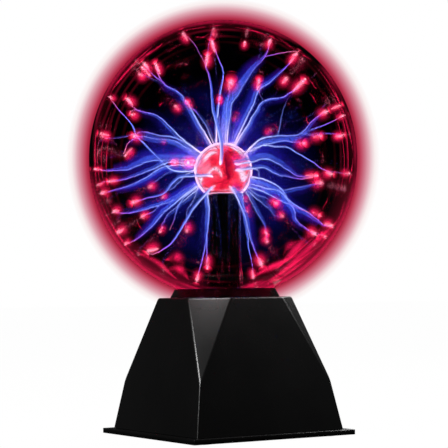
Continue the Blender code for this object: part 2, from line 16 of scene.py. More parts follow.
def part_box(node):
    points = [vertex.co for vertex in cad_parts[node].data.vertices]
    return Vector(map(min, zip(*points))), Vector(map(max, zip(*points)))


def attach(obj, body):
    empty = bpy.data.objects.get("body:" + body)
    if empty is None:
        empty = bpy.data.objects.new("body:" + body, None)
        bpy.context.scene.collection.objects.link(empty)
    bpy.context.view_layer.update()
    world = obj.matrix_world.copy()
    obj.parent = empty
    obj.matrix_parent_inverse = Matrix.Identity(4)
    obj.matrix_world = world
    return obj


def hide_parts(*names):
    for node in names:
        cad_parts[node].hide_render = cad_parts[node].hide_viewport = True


bl_info = {
    "name": "Plasma Ball",
    "version": (1, 0, 0),
    "blender": (4, 5, 0),
    "location": "3D Viewport > Sidebar > Plasma Ball",
    "description": "Models the glass, the discharge and the base of a plasma ball",
    "category": "Object",
}

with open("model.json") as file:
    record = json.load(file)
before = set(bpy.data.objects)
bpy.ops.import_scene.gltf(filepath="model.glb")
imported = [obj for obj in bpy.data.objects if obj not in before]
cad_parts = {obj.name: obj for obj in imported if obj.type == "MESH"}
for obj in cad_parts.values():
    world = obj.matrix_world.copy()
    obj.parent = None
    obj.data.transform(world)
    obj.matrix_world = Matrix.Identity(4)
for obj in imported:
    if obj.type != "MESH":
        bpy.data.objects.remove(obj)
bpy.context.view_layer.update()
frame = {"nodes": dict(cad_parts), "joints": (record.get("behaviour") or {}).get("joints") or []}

MM = 0.001
UP = Vector((0, 0, 1))

# The globe is a little taller than wide, and its neck runs down into the base.
GLOBE_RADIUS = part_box("globe_glass")[1].x
GLOBE_STRETCH = 1.034
GLOBE_CENTRE = UP * (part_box("globe_glass")[1].z - GLOBE_RADIUS * GLOBE_STRETCH)
NECK_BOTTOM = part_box("globe_glass")[0].z
NECK_RADIUS = 20 * MM
BASE_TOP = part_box("base_housing")[1].z
BASE_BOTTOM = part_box("base_housing")[0].z
PLATE_TOP = BASE_BOTTOM - 0.3 * MM

# The electrode is a glass ball with a flat underside, on a stem.
BALL_RADIUS = 21.5 * MM
BALL_CENTRE = UP * (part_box("inner_glass")[1].z - BALL_RADIUS)
BALL_CUT = BALL_CENTRE.z - 16.3 * MM

# The camera stands to the left of the front, so that the base shows a corner.
FACING = math.radians(31.67)
VIEW_RIGHT = Vector((math.cos(FACING), -math.sin(FACING), 0))
VIEW_BACK = Vector((-math.sin(FACING), -math.cos(FACING), 0))

NEAR, FAR = 1, -1

# The painted red glow outside the glass: what the camera's shell lets through, by the distance from the centre in
# radii.
HALO_SHARE = 1.2
HALO_COLOURS = [
    (1.0, (0.38, 0.016, 0.05)), (1.015, (0.45, 0.03, 0.07)), (1.033, (0.54, 0.08, 0.14)),
    (1.058, (0.62, 0.2, 0.27)), (1.088, (0.76, 0.42, 0.48)), (1.108, (0.85, 0.64, 0.68)), (1.13, (0.95, 0.86, 0.86)),
    (1.165, (1.0, 1.0, 1.0)),
]


# ------------------------------------------------------------------------------------------ settings


class GlobeSettings(bpy.types.PropertyGroup):
    """The outer glass."""

    wall: FloatProperty(name="Wall", description="Thickness of the blown glass", default=2 * MM, unit="LENGTH")
    tint: FloatVectorProperty(
        name="Tint", description="What one wall of the smoked glass lets through", subtype="COLOR",
        default=(0.13, 0.12, 0.14), min=0.0, max=1.0,
    )


class DischargeSettings(bpy.types.PropertyGroup):
    """The streamers and the glow where they meet the glass."""

    seed: IntProperty(name="Seed", description="Changes how each streamer wanders", default=11)
    brightness: FloatProperty(
        name="Brightness", description="Strength of the light, seen through the smoked glass", default=9.0, min=0.0,
    )
    filament: FloatProperty(
        name="Filament", description="Radius of a bright filament", default=0.5 * MM, unit="LENGTH",
    )
    ribbon: FloatProperty(
        name="Ribbon", description="Half width of the blue ribbon beside a filament", default=1.15 * MM, unit="LENGTH",
    )


class BaseSettings(bpy.types.PropertyGroup):
    """The moulded black base."""

    plastic: FloatVectorProperty(
        name="Plastic", description="Colour of the moulded plastic", subtype="COLOR",
        default=(0.002, 0.002, 0.0021), min=0.0, max=1.0,
    )
    wall: FloatProperty(name="Wall", description="Thickness of the housing", default=2.5 * MM, unit="LENGTH")
    edge: FloatProperty(name="Edge", description="Radius of the moulded edges", default=1.5 * MM, unit="LENGTH")


class StageSettings(bpy.types.PropertyGroup):
    """Camera, lights and floor."""

    distance: FloatProperty(
        name="Camera Distance", description="From the ball's axis, level", default=1.2103, unit="LENGTH",
    )
    height: FloatProperty(name="Camera Height", description="Above the floor", default=0.1034, unit="LENGTH")
    lens: FloatProperty(name="Lens", description="Focal length in millimetres", default=130.5)
    key_power: FloatProperty(name="Key Light", description="Power of the softbox at the upper left", default=4.2)


# ------------------------------------------------------------------------------------------ modelling


def deselect():
    """Leaves edit mode, and selects nothing."""
    if bpy.context.object and bpy.context.object.mode != "OBJECT":
        bpy.ops.object.mode_set(mode="OBJECT")
    bpy.ops.object.select_all(action="DESELECT")


def activate(piece):
    deselect()
    piece.select_set(True)
    bpy.context.view_layer.objects.active = piece
    return piece


def added(name):
    """The primitive that was just added, under its own name."""
    piece = bpy.context.object
    piece.name = name
    piece.data.name = name
    return piece


def edit(piece):
    activate(piece)
    bpy.ops.object.mode_set(mode="EDIT")
    return bmesh.from_edit_mesh(piece.data)


def pick(piece, kind, test):
    """In edit mode, selects the vertices, edges or faces that pass a test, and nothing else."""
    bpy.ops.mesh.select_mode(type=kind)
    bpy.ops.mesh.select_all(action="DESELECT")
    mesh = bmesh.from_edit_mesh(piece.data)
    items = {"VERT": mesh.verts, "EDGE": mesh.edges, "FACE": mesh.faces}[kind]
    for item in items:
        if test(item):
            item.select_set(True)
    bmesh.update_edit_mesh(piece.data)


def edge_middle(edge):
    return (edge.verts[0].co + edge.verts[1].co) / 2


def tidy_mesh(piece, merge=0.001 * MM):
    """Welds doubles and turns every face outward."""
    edit(piece)
    bpy.ops.mesh.select_all(action="SELECT")
    bpy.ops.mesh.remove_doubles(threshold=merge)
    bpy.ops.mesh.normals_make_consistent(inside=False)
    bpy.ops.object.mode_set(mode="OBJECT")


def smooth(piece, angle=35.0):
    activate(piece)
    bpy.ops.object.shade_smooth_by_angle(angle=math.radians(angle))


def apply_modifier(piece, kind, **values):
    activate(piece)
    modifier = piece.modifiers.new(kind.title(), kind)
    for key, value in values.items():
        setattr(modifier, key, value)
    bpy.ops.object.modifier_apply(modifier=modifier.name)


def bevel(piece, width, segments=3, angle=30.0):
    apply_modifier(
        piece, "BEVEL", width=width, segments=segments, limit_method="ANGLE", angle_limit=math.radians(angle),
        harden_normals=False,
    )


def place(piece):
    """Puts the piece's place into its mesh, so that its object sits at the origin, unturned and unscaled."""
    activate(piece)
    bpy.ops.object.transform_apply(location=True, rotation=True, scale=True)
    return piece


def cube(name, size, centre):
    bpy.ops.object.select_all(action="DESELECT")
    bpy.ops.mesh.primitive_cube_add(size=1.0, location=centre, scale=size)
    return place(added(name))


def cylinder(name, radius, depth, centre, sides=32, along="Z"):
    turn = {"X": (0, math.pi / 2, 0), "Y": (math.pi / 2, 0, 0), "Z": (0, 0, 0)}[along]
    bpy.ops.mesh.primitive_cylinder_add(vertices=sides, radius=radius, depth=depth, location=centre, rotation=turn)
    return place(added(name))


def carve(piece, *cutters, operation="DIFFERENCE"):
    """Applies a Boolean with each cutter, and removes the cutter."""
    for cutter in cutters:
        apply_modifier(piece, "BOOLEAN", operation=operation, object=cutter, solver="EXACT")
        bpy.data.objects.remove(cutter)


def turned(name, rings, sides=96):
    """A turned shape: a circle extruded from ring to ring, each a (radius, height). A ring of no radius is a pole."""
    deselect()
    first = 0 if rings[0][0] else 1
    radius, height = rings[first]
    bpy.ops.mesh.primitive_circle_add(vertices=sides, radius=radius, location=(0, 0, height))
    piece = place(added(name))
    edit(piece)
    bpy.ops.mesh.select_all(action="SELECT")
    if first:
        close_pole(rings[0][1] - height)
        pick(piece, "EDGE", lambda edge: all(vert.co.xy.length > radius / 2 for vert in edge.verts))
    for next_radius, next_height in rings[first + 1:]:
        if not next_radius:
            close_pole(next_height - height)
            break
        bpy.ops.mesh.extrude_edges_move(TRANSFORM_OT_translate={"value": (0, 0, next_height - height)})
        share = next_radius / radius
        bpy.ops.transform.resize(value=(share, share, 1), center_override=(0, 0, next_height))
        radius, height = next_radius, next_height
    bpy.ops.object.mode_set(mode="OBJECT")
    tidy_mesh(piece)
    return piece


def close_pole(rise):
    """Draws the selected ring together into one point, at a rise from it."""
    bpy.ops.mesh.extrude_edges_move(TRANSFORM_OT_translate={"value": (0, 0, rise)})
    bpy.ops.mesh.merge(type="CENTER")


def finish_piece(piece, material, body="root", replaces=()):
    """Gives the piece its finish, and ties it to the frame."""
    piece.data.materials.clear()
    piece.data.materials.append(material)
    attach(piece, body)
    if replaces:
        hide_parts(*replaces)
    deselect()
    return piece


def repaint(material, *nodes):
    """Gives engineered nodes a finish, in the slots that they already have."""
    for node in nodes:
        for holder in frame["nodes"][node].material_slots:
            holder.material = material


# ------------------------------------------------------------------------------------------ materials


def node(tree, kind, inputs=None, **settings):
    """A shader node with its settings, and with plain values or links on its inputs."""
    made = tree.nodes.new(kind)
    for key, value in settings.items():
        setattr(made, key, value)
    for key, value in (inputs or {}).items():
        if isinstance(value, bpy.types.NodeSocket):
            tree.links.new(value, made.inputs[key])
        else:
            made.inputs[key].default_value = value
    return made


def ramp(tree, factor, stops, interpolation="LINEAR"):
    """A colour ramp through (position, colour) stops, and its colour output."""
    made = node(tree, "ShaderNodeValToRGB", {"Fac": factor})
    band = made.color_ramp
    band.interpolation = interpolation
    while len(band.elements) < len(stops):
        band.elements.new(0.5)
    for element, (position, colour) in zip(band.elements, stops):
        element.position = position
        element.color = (*colour, 1.0) if len(colour) == 3 else colour
    return made.outputs["Color"]


def levels(tree, factor, *stops):
    """A ramp of grey levels, for masks."""
    return ramp(tree, factor, [(position, (level, level, level)) for position, level in stops])


def maths(tree, operation, first, second=0.0):
    return node(tree, "ShaderNodeMath", {0: first, 1: second}, operation=operation).outputs[0]


def object_place(tree):
    return node(tree, "ShaderNodeTexCoord").outputs["Object"]


def texture(tree, vector, scale, detail=2.0, roughness=0.5, distortion=0.0):
    values = {"Vector": vector, "Scale": scale, "Detail": detail, "Roughness": roughness, "Distortion": distortion}
    return node(tree, "ShaderNodeTexNoise", values).outputs["Fac"]


def node_group(name, inputs, outputs):
    """An empty shader group with these sockets: (name, kind, default) and (name, kind)."""
    tree = bpy.data.node_groups.new(name, "ShaderNodeTree")
    for label, kind, default in inputs:
        tree.interface.new_socket(label, in_out="INPUT", socket_type=kind).default_value = default
    for label, kind in outputs:
        tree.interface.new_socket(label, in_out="OUTPUT", socket_type=kind)
    return tree, tree.nodes.new("NodeGroupInput").outputs, tree.nodes.new("NodeGroupOutput").inputs


def use_group(tree, name, **values):
    made = node(tree, "ShaderNodeGroup", node_tree=bpy.data.node_groups[name])
    for key, value in values.items():
        made.inputs[key.replace("_", " ")].default_value = value
    return made.outputs


def build_groups():
    """The effects that several finishes share."""
    tree, given, result = node_group(
        "Moulded grain",
        [("Pitch", "NodeSocketFloat", 1800.0), ("Gloss", "NodeSocketFloat", 0.4), ("Spread", "NodeSocketFloat", 0.1)],
        [("Height", "NodeSocketFloat"), ("Roughness", "NodeSocketFloat"), ("Tone", "NodeSocketFloat")],
    )
    where = object_place(tree)
    fine = texture(tree, where, given["Pitch"], detail=1.0)
    coarse = texture(tree, where, maths(tree, "MULTIPLY", given["Pitch"], 0.35), detail=2.0)
    tree.links.new(maths(tree, "ADD", fine, maths(tree, "MULTIPLY", coarse, 0.6)), result["Height"])
    cloud = texture(tree, where, 22.0, detail=4.0, roughness=0.6)
    offset = maths(tree, "MULTIPLY", maths(tree, "SUBTRACT", cloud, 0.5), given["Spread"])
    tree.links.new(maths(tree, "ADD", given["Gloss"], offset), result["Roughness"])
    tree.links.new(levels(tree, cloud, (0.3, 0.8), (0.7, 1.0)), result["Tone"])

    tree, given, result = node_group("Reach", [], [("Share", "NodeSocketFloat")])
    moved = node(
        tree, "ShaderNodeMapping",
        {"Vector": object_place(tree), "Location": tuple(-GLOBE_CENTRE.z / GLOBE_STRETCH * UP),
         "Scale": (1, 1, 1 / GLOBE_STRETCH)},
    ).outputs["Vector"]
    distance = node(tree, "ShaderNodeVectorMath", {0: moved}, operation="LENGTH").outputs["Value"]
    tree.links.new(maths(tree, "DIVIDE", distance, GLOBE_RADIUS), result["Share"])


def material(name, base=(0.8, 0.8, 0.8), roughness=0.5, **values):
    """A Principled material. The values set the shader's own sockets, by name."""
    made = bpy.data.materials.new(name)
    made.use_nodes = True
    shader = made.node_tree.nodes["Principled BSDF"]
    shader.inputs["Base Color"].default_value = (*base, 1.0)
    shader.inputs["Roughness"].default_value = roughness
    for key, value in values.items():
        shader.inputs[key.replace("_", " ")].default_value = value
    return made, made.node_tree, shader


def grained(name, base, gloss, spread=0.1, pitch=1800.0, bump=0.06, depth=0.05 * MM, **values):
    """A moulded finish: fine grain in its surface, and slow changes of gloss and tone."""
    made, tree, shader = material(name, base, gloss, **values)
    grain = use_group(tree, "Moulded grain", Pitch=pitch, Gloss=gloss, Spread=spread)
    tree.links.new(grain["Roughness"], shader.inputs["Roughness"])
    toned = node(tree, "ShaderNodeVectorMath", {0: base, "Scale": grain["Tone"]}, operation="SCALE")
    tree.links.new(toned.outputs["Vector"], shader.inputs["Base Color"])
    relief = node(tree, "ShaderNodeBump", {"Height": grain["Height"], "Strength": bump, "Distance": depth})
    tree.links.new(relief.outputs["Normal"], shader.inputs["Normal"])
    return made


def brushed(name, base, roughness=0.3, pitch=(40.0, 40.0, 2500.0)):
    """Drawn or plated metal, with fine lines across it."""
    made, tree, shader = material(name, base, roughness, Metallic=1.0)
    stretched = node(tree, "ShaderNodeMapping", {"Vector": object_place(tree), "Scale": pitch}).outputs["Vector"]
    lines = texture(tree, stretched, 1.0, detail=3.0)
    tree.links.new(levels(tree, lines, (0.3, roughness - 0.1), (0.7, roughness + 0.15)), shader.inputs["Roughness"])
    relief = node(tree, "ShaderNodeBump", {"Height": lines, "Strength": 0.1, "Distance": 0.02 * MM})
    tree.links.new(relief.outputs["Normal"], shader.inputs["Normal"])
    return made


def edge_fade(tree, *stops):
    """A mask over how squarely a surface is seen: 0 is face on, and 1 is edge on."""
    facing = node(tree, "ShaderNodeLayerWeight", {"Blend": 0.5}).outputs["Facing"]
    return levels(tree, facing, *stops)


def light_material(name, strength, stops, fade=None, patch=None):
    """A thing that only shines. Its colour goes by how far out it is, and its cover fades as asked."""
    made, tree, shader = material(name, (0, 0, 0), 1.0, Specular_IOR_Level=0.0)
    made.cycles.emission_sampling = "NONE"
    share = use_group(tree, "Reach")["Share"]
    tree.links.new(ramp(tree, share, stops), shader.inputs["Emission Color"])
    shader.inputs["Emission Strength"].default_value = strength
    cover = None
    if fade:
        cover = edge_fade(tree, *fade)
    if patch:
        scale, low, high = patch
        spots = levels(tree, texture(tree, object_place(tree), scale, detail=3.0), (low, 0.0), (high, 1.0))
        cover = maths(tree, "MULTIPLY", cover, spots) if cover else spots
    if cover:
        tree.links.new(cover, shader.inputs["Alpha"])
    return made


def black_plastic():
    found = bpy.data.materials.get("black plastic")
    colour = tuple(bpy.context.scene.plasma_base.plastic)
    return found or grained("black plastic", colour, 0.27, spread=0.08)


def black_rubber():
    return bpy.data.materials.get("black rubber") or grained(
        "black rubber", (0.012, 0.012, 0.012), 0.75, pitch=900.0, bump=0.2,
    )


def plated_steel():
    return bpy.data.materials.get("plated steel") or brushed("plated steel", (0.6, 0.61, 0.63))


# ------------------------------------------------------------------------------------------ the base


def side_half(height):
    """Half the width of the housing at a height. It tapers in a straight line."""
    share = (height - PLATE_TOP) / (BASE_TOP - PLATE_TOP)
    return HOUSING_BOTTOM_HALF + (HOUSING_TOP_HALF - HOUSING_BOTTOM_HALF) * share


HOUSING_BOTTOM_HALF = 62.1 * MM
HOUSING_TOP_HALF = 45.0 * MM
FACET_CUT = 23.2 * MM
FACET_DEPTH = 62.5 * MM
CORNER = 53.0 * MM
CORNERS = [(-CORNER, -CORNER), (CORNER, -CORNER), (CORNER, CORNER), (-CORNER, CORNER)]
PLATE_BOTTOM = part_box("bottom_plate")[0].z
PLATE_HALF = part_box("bottom_plate")[1].x


class PLASMA_OT_housing(bpy.types.Operator):
    """Model the black pyramid with its cut corners, hollow, with the openings of its rear panel"""

    bl_idname = "plasma.housing"
    bl_label = "Base Housing"

    def execute(self, context):
        settings = context.scene.plasma_base
        start = BASE_BOTTOM - 4 * MM
        low, high = side_half(start), HOUSING_TOP_HALF
        middle, depth = (start + BASE_TOP) / 2, BASE_TOP - start
        housing = cube("housing_shell", (2 * low, 2 * low, depth), (0, 0, middle))
        edit(housing)
        pick(housing, "FACE", lambda face: face.normal.z > 0.9)
        bpy.ops.transform.resize(value=(high / low, high / low, 1), center_override=(0, 0, BASE_TOP))
        self.cut_corners()
        pick(housing, "EDGE", lambda edge: edge_middle(edge).z > start + MM)
        bpy.ops.mesh.bevel(offset=settings.edge, segments=4, profile=0.5, affect="EDGES")
        pick(housing, "FACE", lambda face: face.normal.z < -0.9)
        bpy.ops.mesh.delete(type="FACE")
        tidy_mesh(housing)
        apply_modifier(housing, "SOLIDIFY", thickness=settings.wall, offset=-1.0, use_even_offset=True)
        edit(housing)
        bpy.ops.mesh.select_all(action="SELECT")
        bpy.ops.mesh.bisect(plane_co=UP * BASE_BOTTOM, plane_no=UP, use_fill=True, clear_inner=True)
        bpy.ops.object.mode_set(mode="OBJECT")
        self.open_panel(housing)
        smooth(housing, 30.0)
        finish_piece(housing, black_plastic(), replaces=["base_housing"])
        return {"FINISHED"}

    @staticmethod
    def cut_corners():
        """Bisects each corner with a plane through two points of the top and one on the corner's edge."""
        height = BASE_TOP - FACET_DEPTH
        point = Vector((side_half(height), side_half(height), height))
        first = Vector((HOUSING_TOP_HALF, HOUSING_TOP_HALF - FACET_CUT, BASE_TOP))
        second = Vector((first.y, first.x, BASE_TOP))
        normal = (second - point).cross(first - point).normalized()
        normal = normal if normal.x > 0 else -normal
        for quarter in range(4):
            turn = Matrix.Rotation(quarter * math.pi / 2, 3, "Z")
            bpy.ops.mesh.select_all(action="SELECT")
            bpy.ops.mesh.bisect(plane_co=turn @ point, plane_no=turn @ normal, use_fill=True, clear_outer=True)

    @staticmethod
    def open_panel(housing):
        """Cuts the neck's hole, the power socket's, the switch's slot and the microphone's hole."""
        socket_low, socket_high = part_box("dc_socket")
        lever_low, lever_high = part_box("switch_lever")
        travel = frame["joints"][0]["range_m"][1]
        rear = 60 * MM
        gap = 0.3 * MM
        socket_size = socket_high - socket_low
        slot = cube(
            "slot_cutter", (lever_high.x - lever_low.x + travel + 1.8 * MM, 14 * MM, lever_high.z - lever_low.z + 2 * MM),
            ((lever_low.x + lever_high.x + travel) / 2, rear, (lever_low.z + lever_high.z) / 2),
        )
        socket = cube(
            "socket_cutter", (socket_size.x + 2 * gap, 14 * MM, socket_size.z + 2 * gap),
            ((socket_low.x + socket_high.x) / 2, rear, (socket_low.z + socket_high.z) / 2),
        )
        microphone_low, microphone_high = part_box("microphone")
        middle = (microphone_low + microphone_high) / 2
        hole = cylinder("hole_cutter", MM, 14 * MM, (middle.x, rear, middle.z), 24, "Y")
        neck = cylinder("neck_cutter", 24 * MM, 12 * MM, (0, 0, BASE_TOP), 64)
        carve(housing, neck, socket, slot, hole)


class PLASMA_OT_bottom_plate(bpy.types.Operator):
    """Model the square plate under the housing, with its vents, foot recesses and board posts"""

    bl_idname = "plasma.bottom_plate"
    bl_label = "Bottom Plate"

    def execute(self, context):
        thick = PLATE_TOP - PLATE_BOTTOM
        plate = cube("foot_plate", (2 * PLATE_HALF, 2 * PLATE_HALF, thick), (0, 0, (PLATE_BOTTOM + PLATE_TOP) / 2))
        edit(plate)
        pick(plate, "EDGE", lambda edge: abs(edge.verts[0].co.z - edge.verts[1].co.z) > thick / 2)
        bpy.ops.mesh.bevel(offset=1.2 * MM, segments=4, affect="EDGES")
        bpy.ops.object.mode_set(mode="OBJECT")
        bevel(plate, 0.25 * MM, 2, 60.0)
        for x, y in CORNERS:
            carve(plate, cylinder("pad", 6 * MM, 5 * MM, (x, y, PLATE_TOP + 0.5 * MM)), operation="UNION")
            carve(plate, cylinder("recess", 7.3 * MM, 4 * MM, (x, y, PLATE_BOTTOM - 0.4 * MM), 48))
            carve(plate, cylinder("head_hole", 3.4 * MM, 8 * MM, (x, y, PLATE_BOTTOM + 0.1 * MM)))
            carve(plate, cylinder("shank_hole", 1.9 * MM, 30 * MM, (x, y, PLATE_TOP)))
        for number in range(1, 5):
            low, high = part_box(f"board_screw_{number}")
            x, y = (low.x + high.x) / 2, (low.y + high.y) / 2
            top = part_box("circuit_board")[0].z - 0.3 * MM
            height = top - PLATE_TOP + MM
            carve(plate, cylinder("post", 3 * MM, height, (x, y, top - height / 2)), operation="UNION")
            carve(plate, cylinder("post_hole", 1.2 * MM, 12 * MM, (x, y, top + MM), 24))
        for row in range(5):
            vent = cube("vent", (36 * MM, 2.4 * MM, 12 * MM), (0, (-44 + 6 * row) * MM, PLATE_BOTTOM))
            bevel(vent, MM, 3, 60.0)
            carve(plate, vent)
        tidy_mesh(plate)
        smooth(plate, 30.0)
        finish_piece(plate, black_plastic(), replaces=["bottom_plate"])
        return {"FINISHED"}


class PLASMA_OT_feet(bpy.types.Operator):
    """Model the four rubber feet, each with a dished underside ring"""

    bl_idname = "plasma.feet"
    bl_label = "Rubber Feet"

    def execute(self, context):
        radius, top = 7 * MM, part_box("rubber_foot_1")[1].z
        rings = [
            (0.0, top), (radius - 0.3 * MM, top), (radius, top - 0.3 * MM), (radius, 0.5 * MM), (radius - 0.2 * MM, 0.15 * MM),
            (radius - 0.6 * MM, 0.0), (radius - 2.2 * MM, 0.0), (radius - 2.6 * MM, 0.3 * MM), (radius - 3.2 * MM, 0.3 * MM),
            (radius - 3.6 * MM, 0.0), (0.0, 0.0),
        ]
        model = turned("foot_model", rings, 48)
        for number, (x, y) in enumerate(CORNERS, start=1):
            foot = model.copy()
            foot.data = model.data.copy()
            foot.name = f"foot_pad_{number}"
            bpy.context.collection.objects.link(foot)
            foot.location = (x, y, 0)
            place(foot)
            smooth(foot, 40.0)
            finish_piece(foot, black_rubber(), replaces=[f"rubber_foot_{number}"])
        bpy.data.objects.remove(model)
        return {"FINISHED"}


class PLASMA_OT_collar(bpy.types.Operator):
    """Model the black ring that the globe sinks into"""

    bl_idname = "plasma.collar"
    bl_label = "Globe Collar"

    def execute(self, context):
        low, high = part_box("globe_collar")
        outer, top, seat = high.x, high.z, 26.6 * MM
        floor = BASE_TOP + 0.05 * MM
        rings = [
            (outer - 4.3 * MM, top - 1.6 * MM), (outer - 4.2 * MM, top - 0.2 * MM), (outer - 4.0 * MM, top),
            (outer - 3.4 * MM, top), (outer - 3.0 * MM, top - 0.3 * MM), (outer - 2.8 * MM, top - 0.9 * MM),
            (outer - 0.4 * MM, floor + 1.0 * MM), (outer, floor + 0.3 * MM), (outer - 0.1 * MM, floor),
            (seat, floor), (seat, floor + 1.4 * MM), (seat + MM, floor + 1.7 * MM), (32 * MM, floor + 2.6 * MM),
            (outer - 5.5 * MM, floor + 4.0 * MM),
        ]
        collar = turned("collar_ring", rings + rings[:1], 128)
        smooth(collar, 40.0)
        finish_piece(collar, black_plastic(), replaces=["globe_collar"])
        return {"FINISHED"}


class PLASMA_OT_rear_panel(bpy.types.Operator):
    """Model the switch's ribbed knob and the power socket's face"""

    bl_idname = "plasma.rear_panel"
    bl_label = "Switch And Socket"

    def execute(self, context):
        self.knob()
        self.socket()
        return {"FINISHED"}

    @staticmethod
    def knob():
        low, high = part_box("switch_lever")
        size, middle = high - low, (low + high) / 2
        knob = cube("switch_knob", size, middle)
        bevel(knob, 0.2 * MM, 2)
        for number in (-1, 0, 1):
            groove = cube(
                "groove", (0.3 * MM, 0.8 * MM, size.z * 2), (middle.x + number * 0.75 * MM, high.y, middle.z),
            )
            carve(knob, groove)
        smooth(knob, 30.0)
        finish_piece(knob, black_plastic(), "switch", ["switch_lever"])

    @staticmethod
    def socket():
        low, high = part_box("dc_socket")
        size, middle = high - low, (low + high) / 2
        socket = cube("power_inlet", size, middle)
        bevel(socket, 0.4 * MM, 3)
        bore = Vector((middle.x, high.y, low.z + 6.4 * MM))
        rim = cylinder("rim", 3.9 * MM, 0.8 * MM, bore, 48, "Y")
        carve(socket, rim, cylinder("bore", 3.2 * MM, 20 * MM, bore, 48, "Y"))
        smooth(socket, 30.0)
        finish_piece(socket, black_plastic(), replaces=["dc_socket"])


# ------------------------------------------------------------------------------------------ the glass


def globe_rings(inset, count):
    """Rings down one side of the globe and its neck, inset from the outside."""
    width, half_height = GLOBE_RADIUS - inset, GLOBE_RADIUS * GLOBE_STRETCH - inset
    last = math.pi - math.asin((26 * MM - inset) / width)
    rings = []
    for step in range(count + 1):
        angle = last * step / count
        rings.append((width * math.sin(angle), GLOBE_CENTRE.z + half_height * math.cos(angle)))
    start, end = Vector(rings[-1]), Vector((NECK_RADIUS - inset, BASE_TOP - MM))
    bend = Vector((end.x + 0.6 * MM, start.y - 0.4 * MM))
    for share in (0.25, 0.5, 0.75, 1.0):
        rings.append(tuple(start.lerp(bend, share).lerp(bend.lerp(end, share), share)))
    rings.append((NECK_RADIUS - inset, NECK_BOTTOM))
    return rings


class PLASMA_OT_globe(bpy.types.Operator):
    """Model the smoked glass globe, with its wall and its neck"""

    bl_idname = "plasma.globe"
    bl_label = "Globe"

    def execute(self, context):
        settings = context.scene.plasma_globe
        rings = globe_rings(0.0, 72) + globe_rings(settings.wall, 72)[::-1]
        shell = turned("globe_shell", rings, 144)
        smooth(shell, 50.0)
        tint = tuple(settings.tint)
        glass, _, _ = material("smoked glass", tint, 0.0, IOR=1.45, Transmission_Weight=1.0)
        finish_piece(shell, glass, replaces=["globe_glass"])
        return {"FINISHED"}


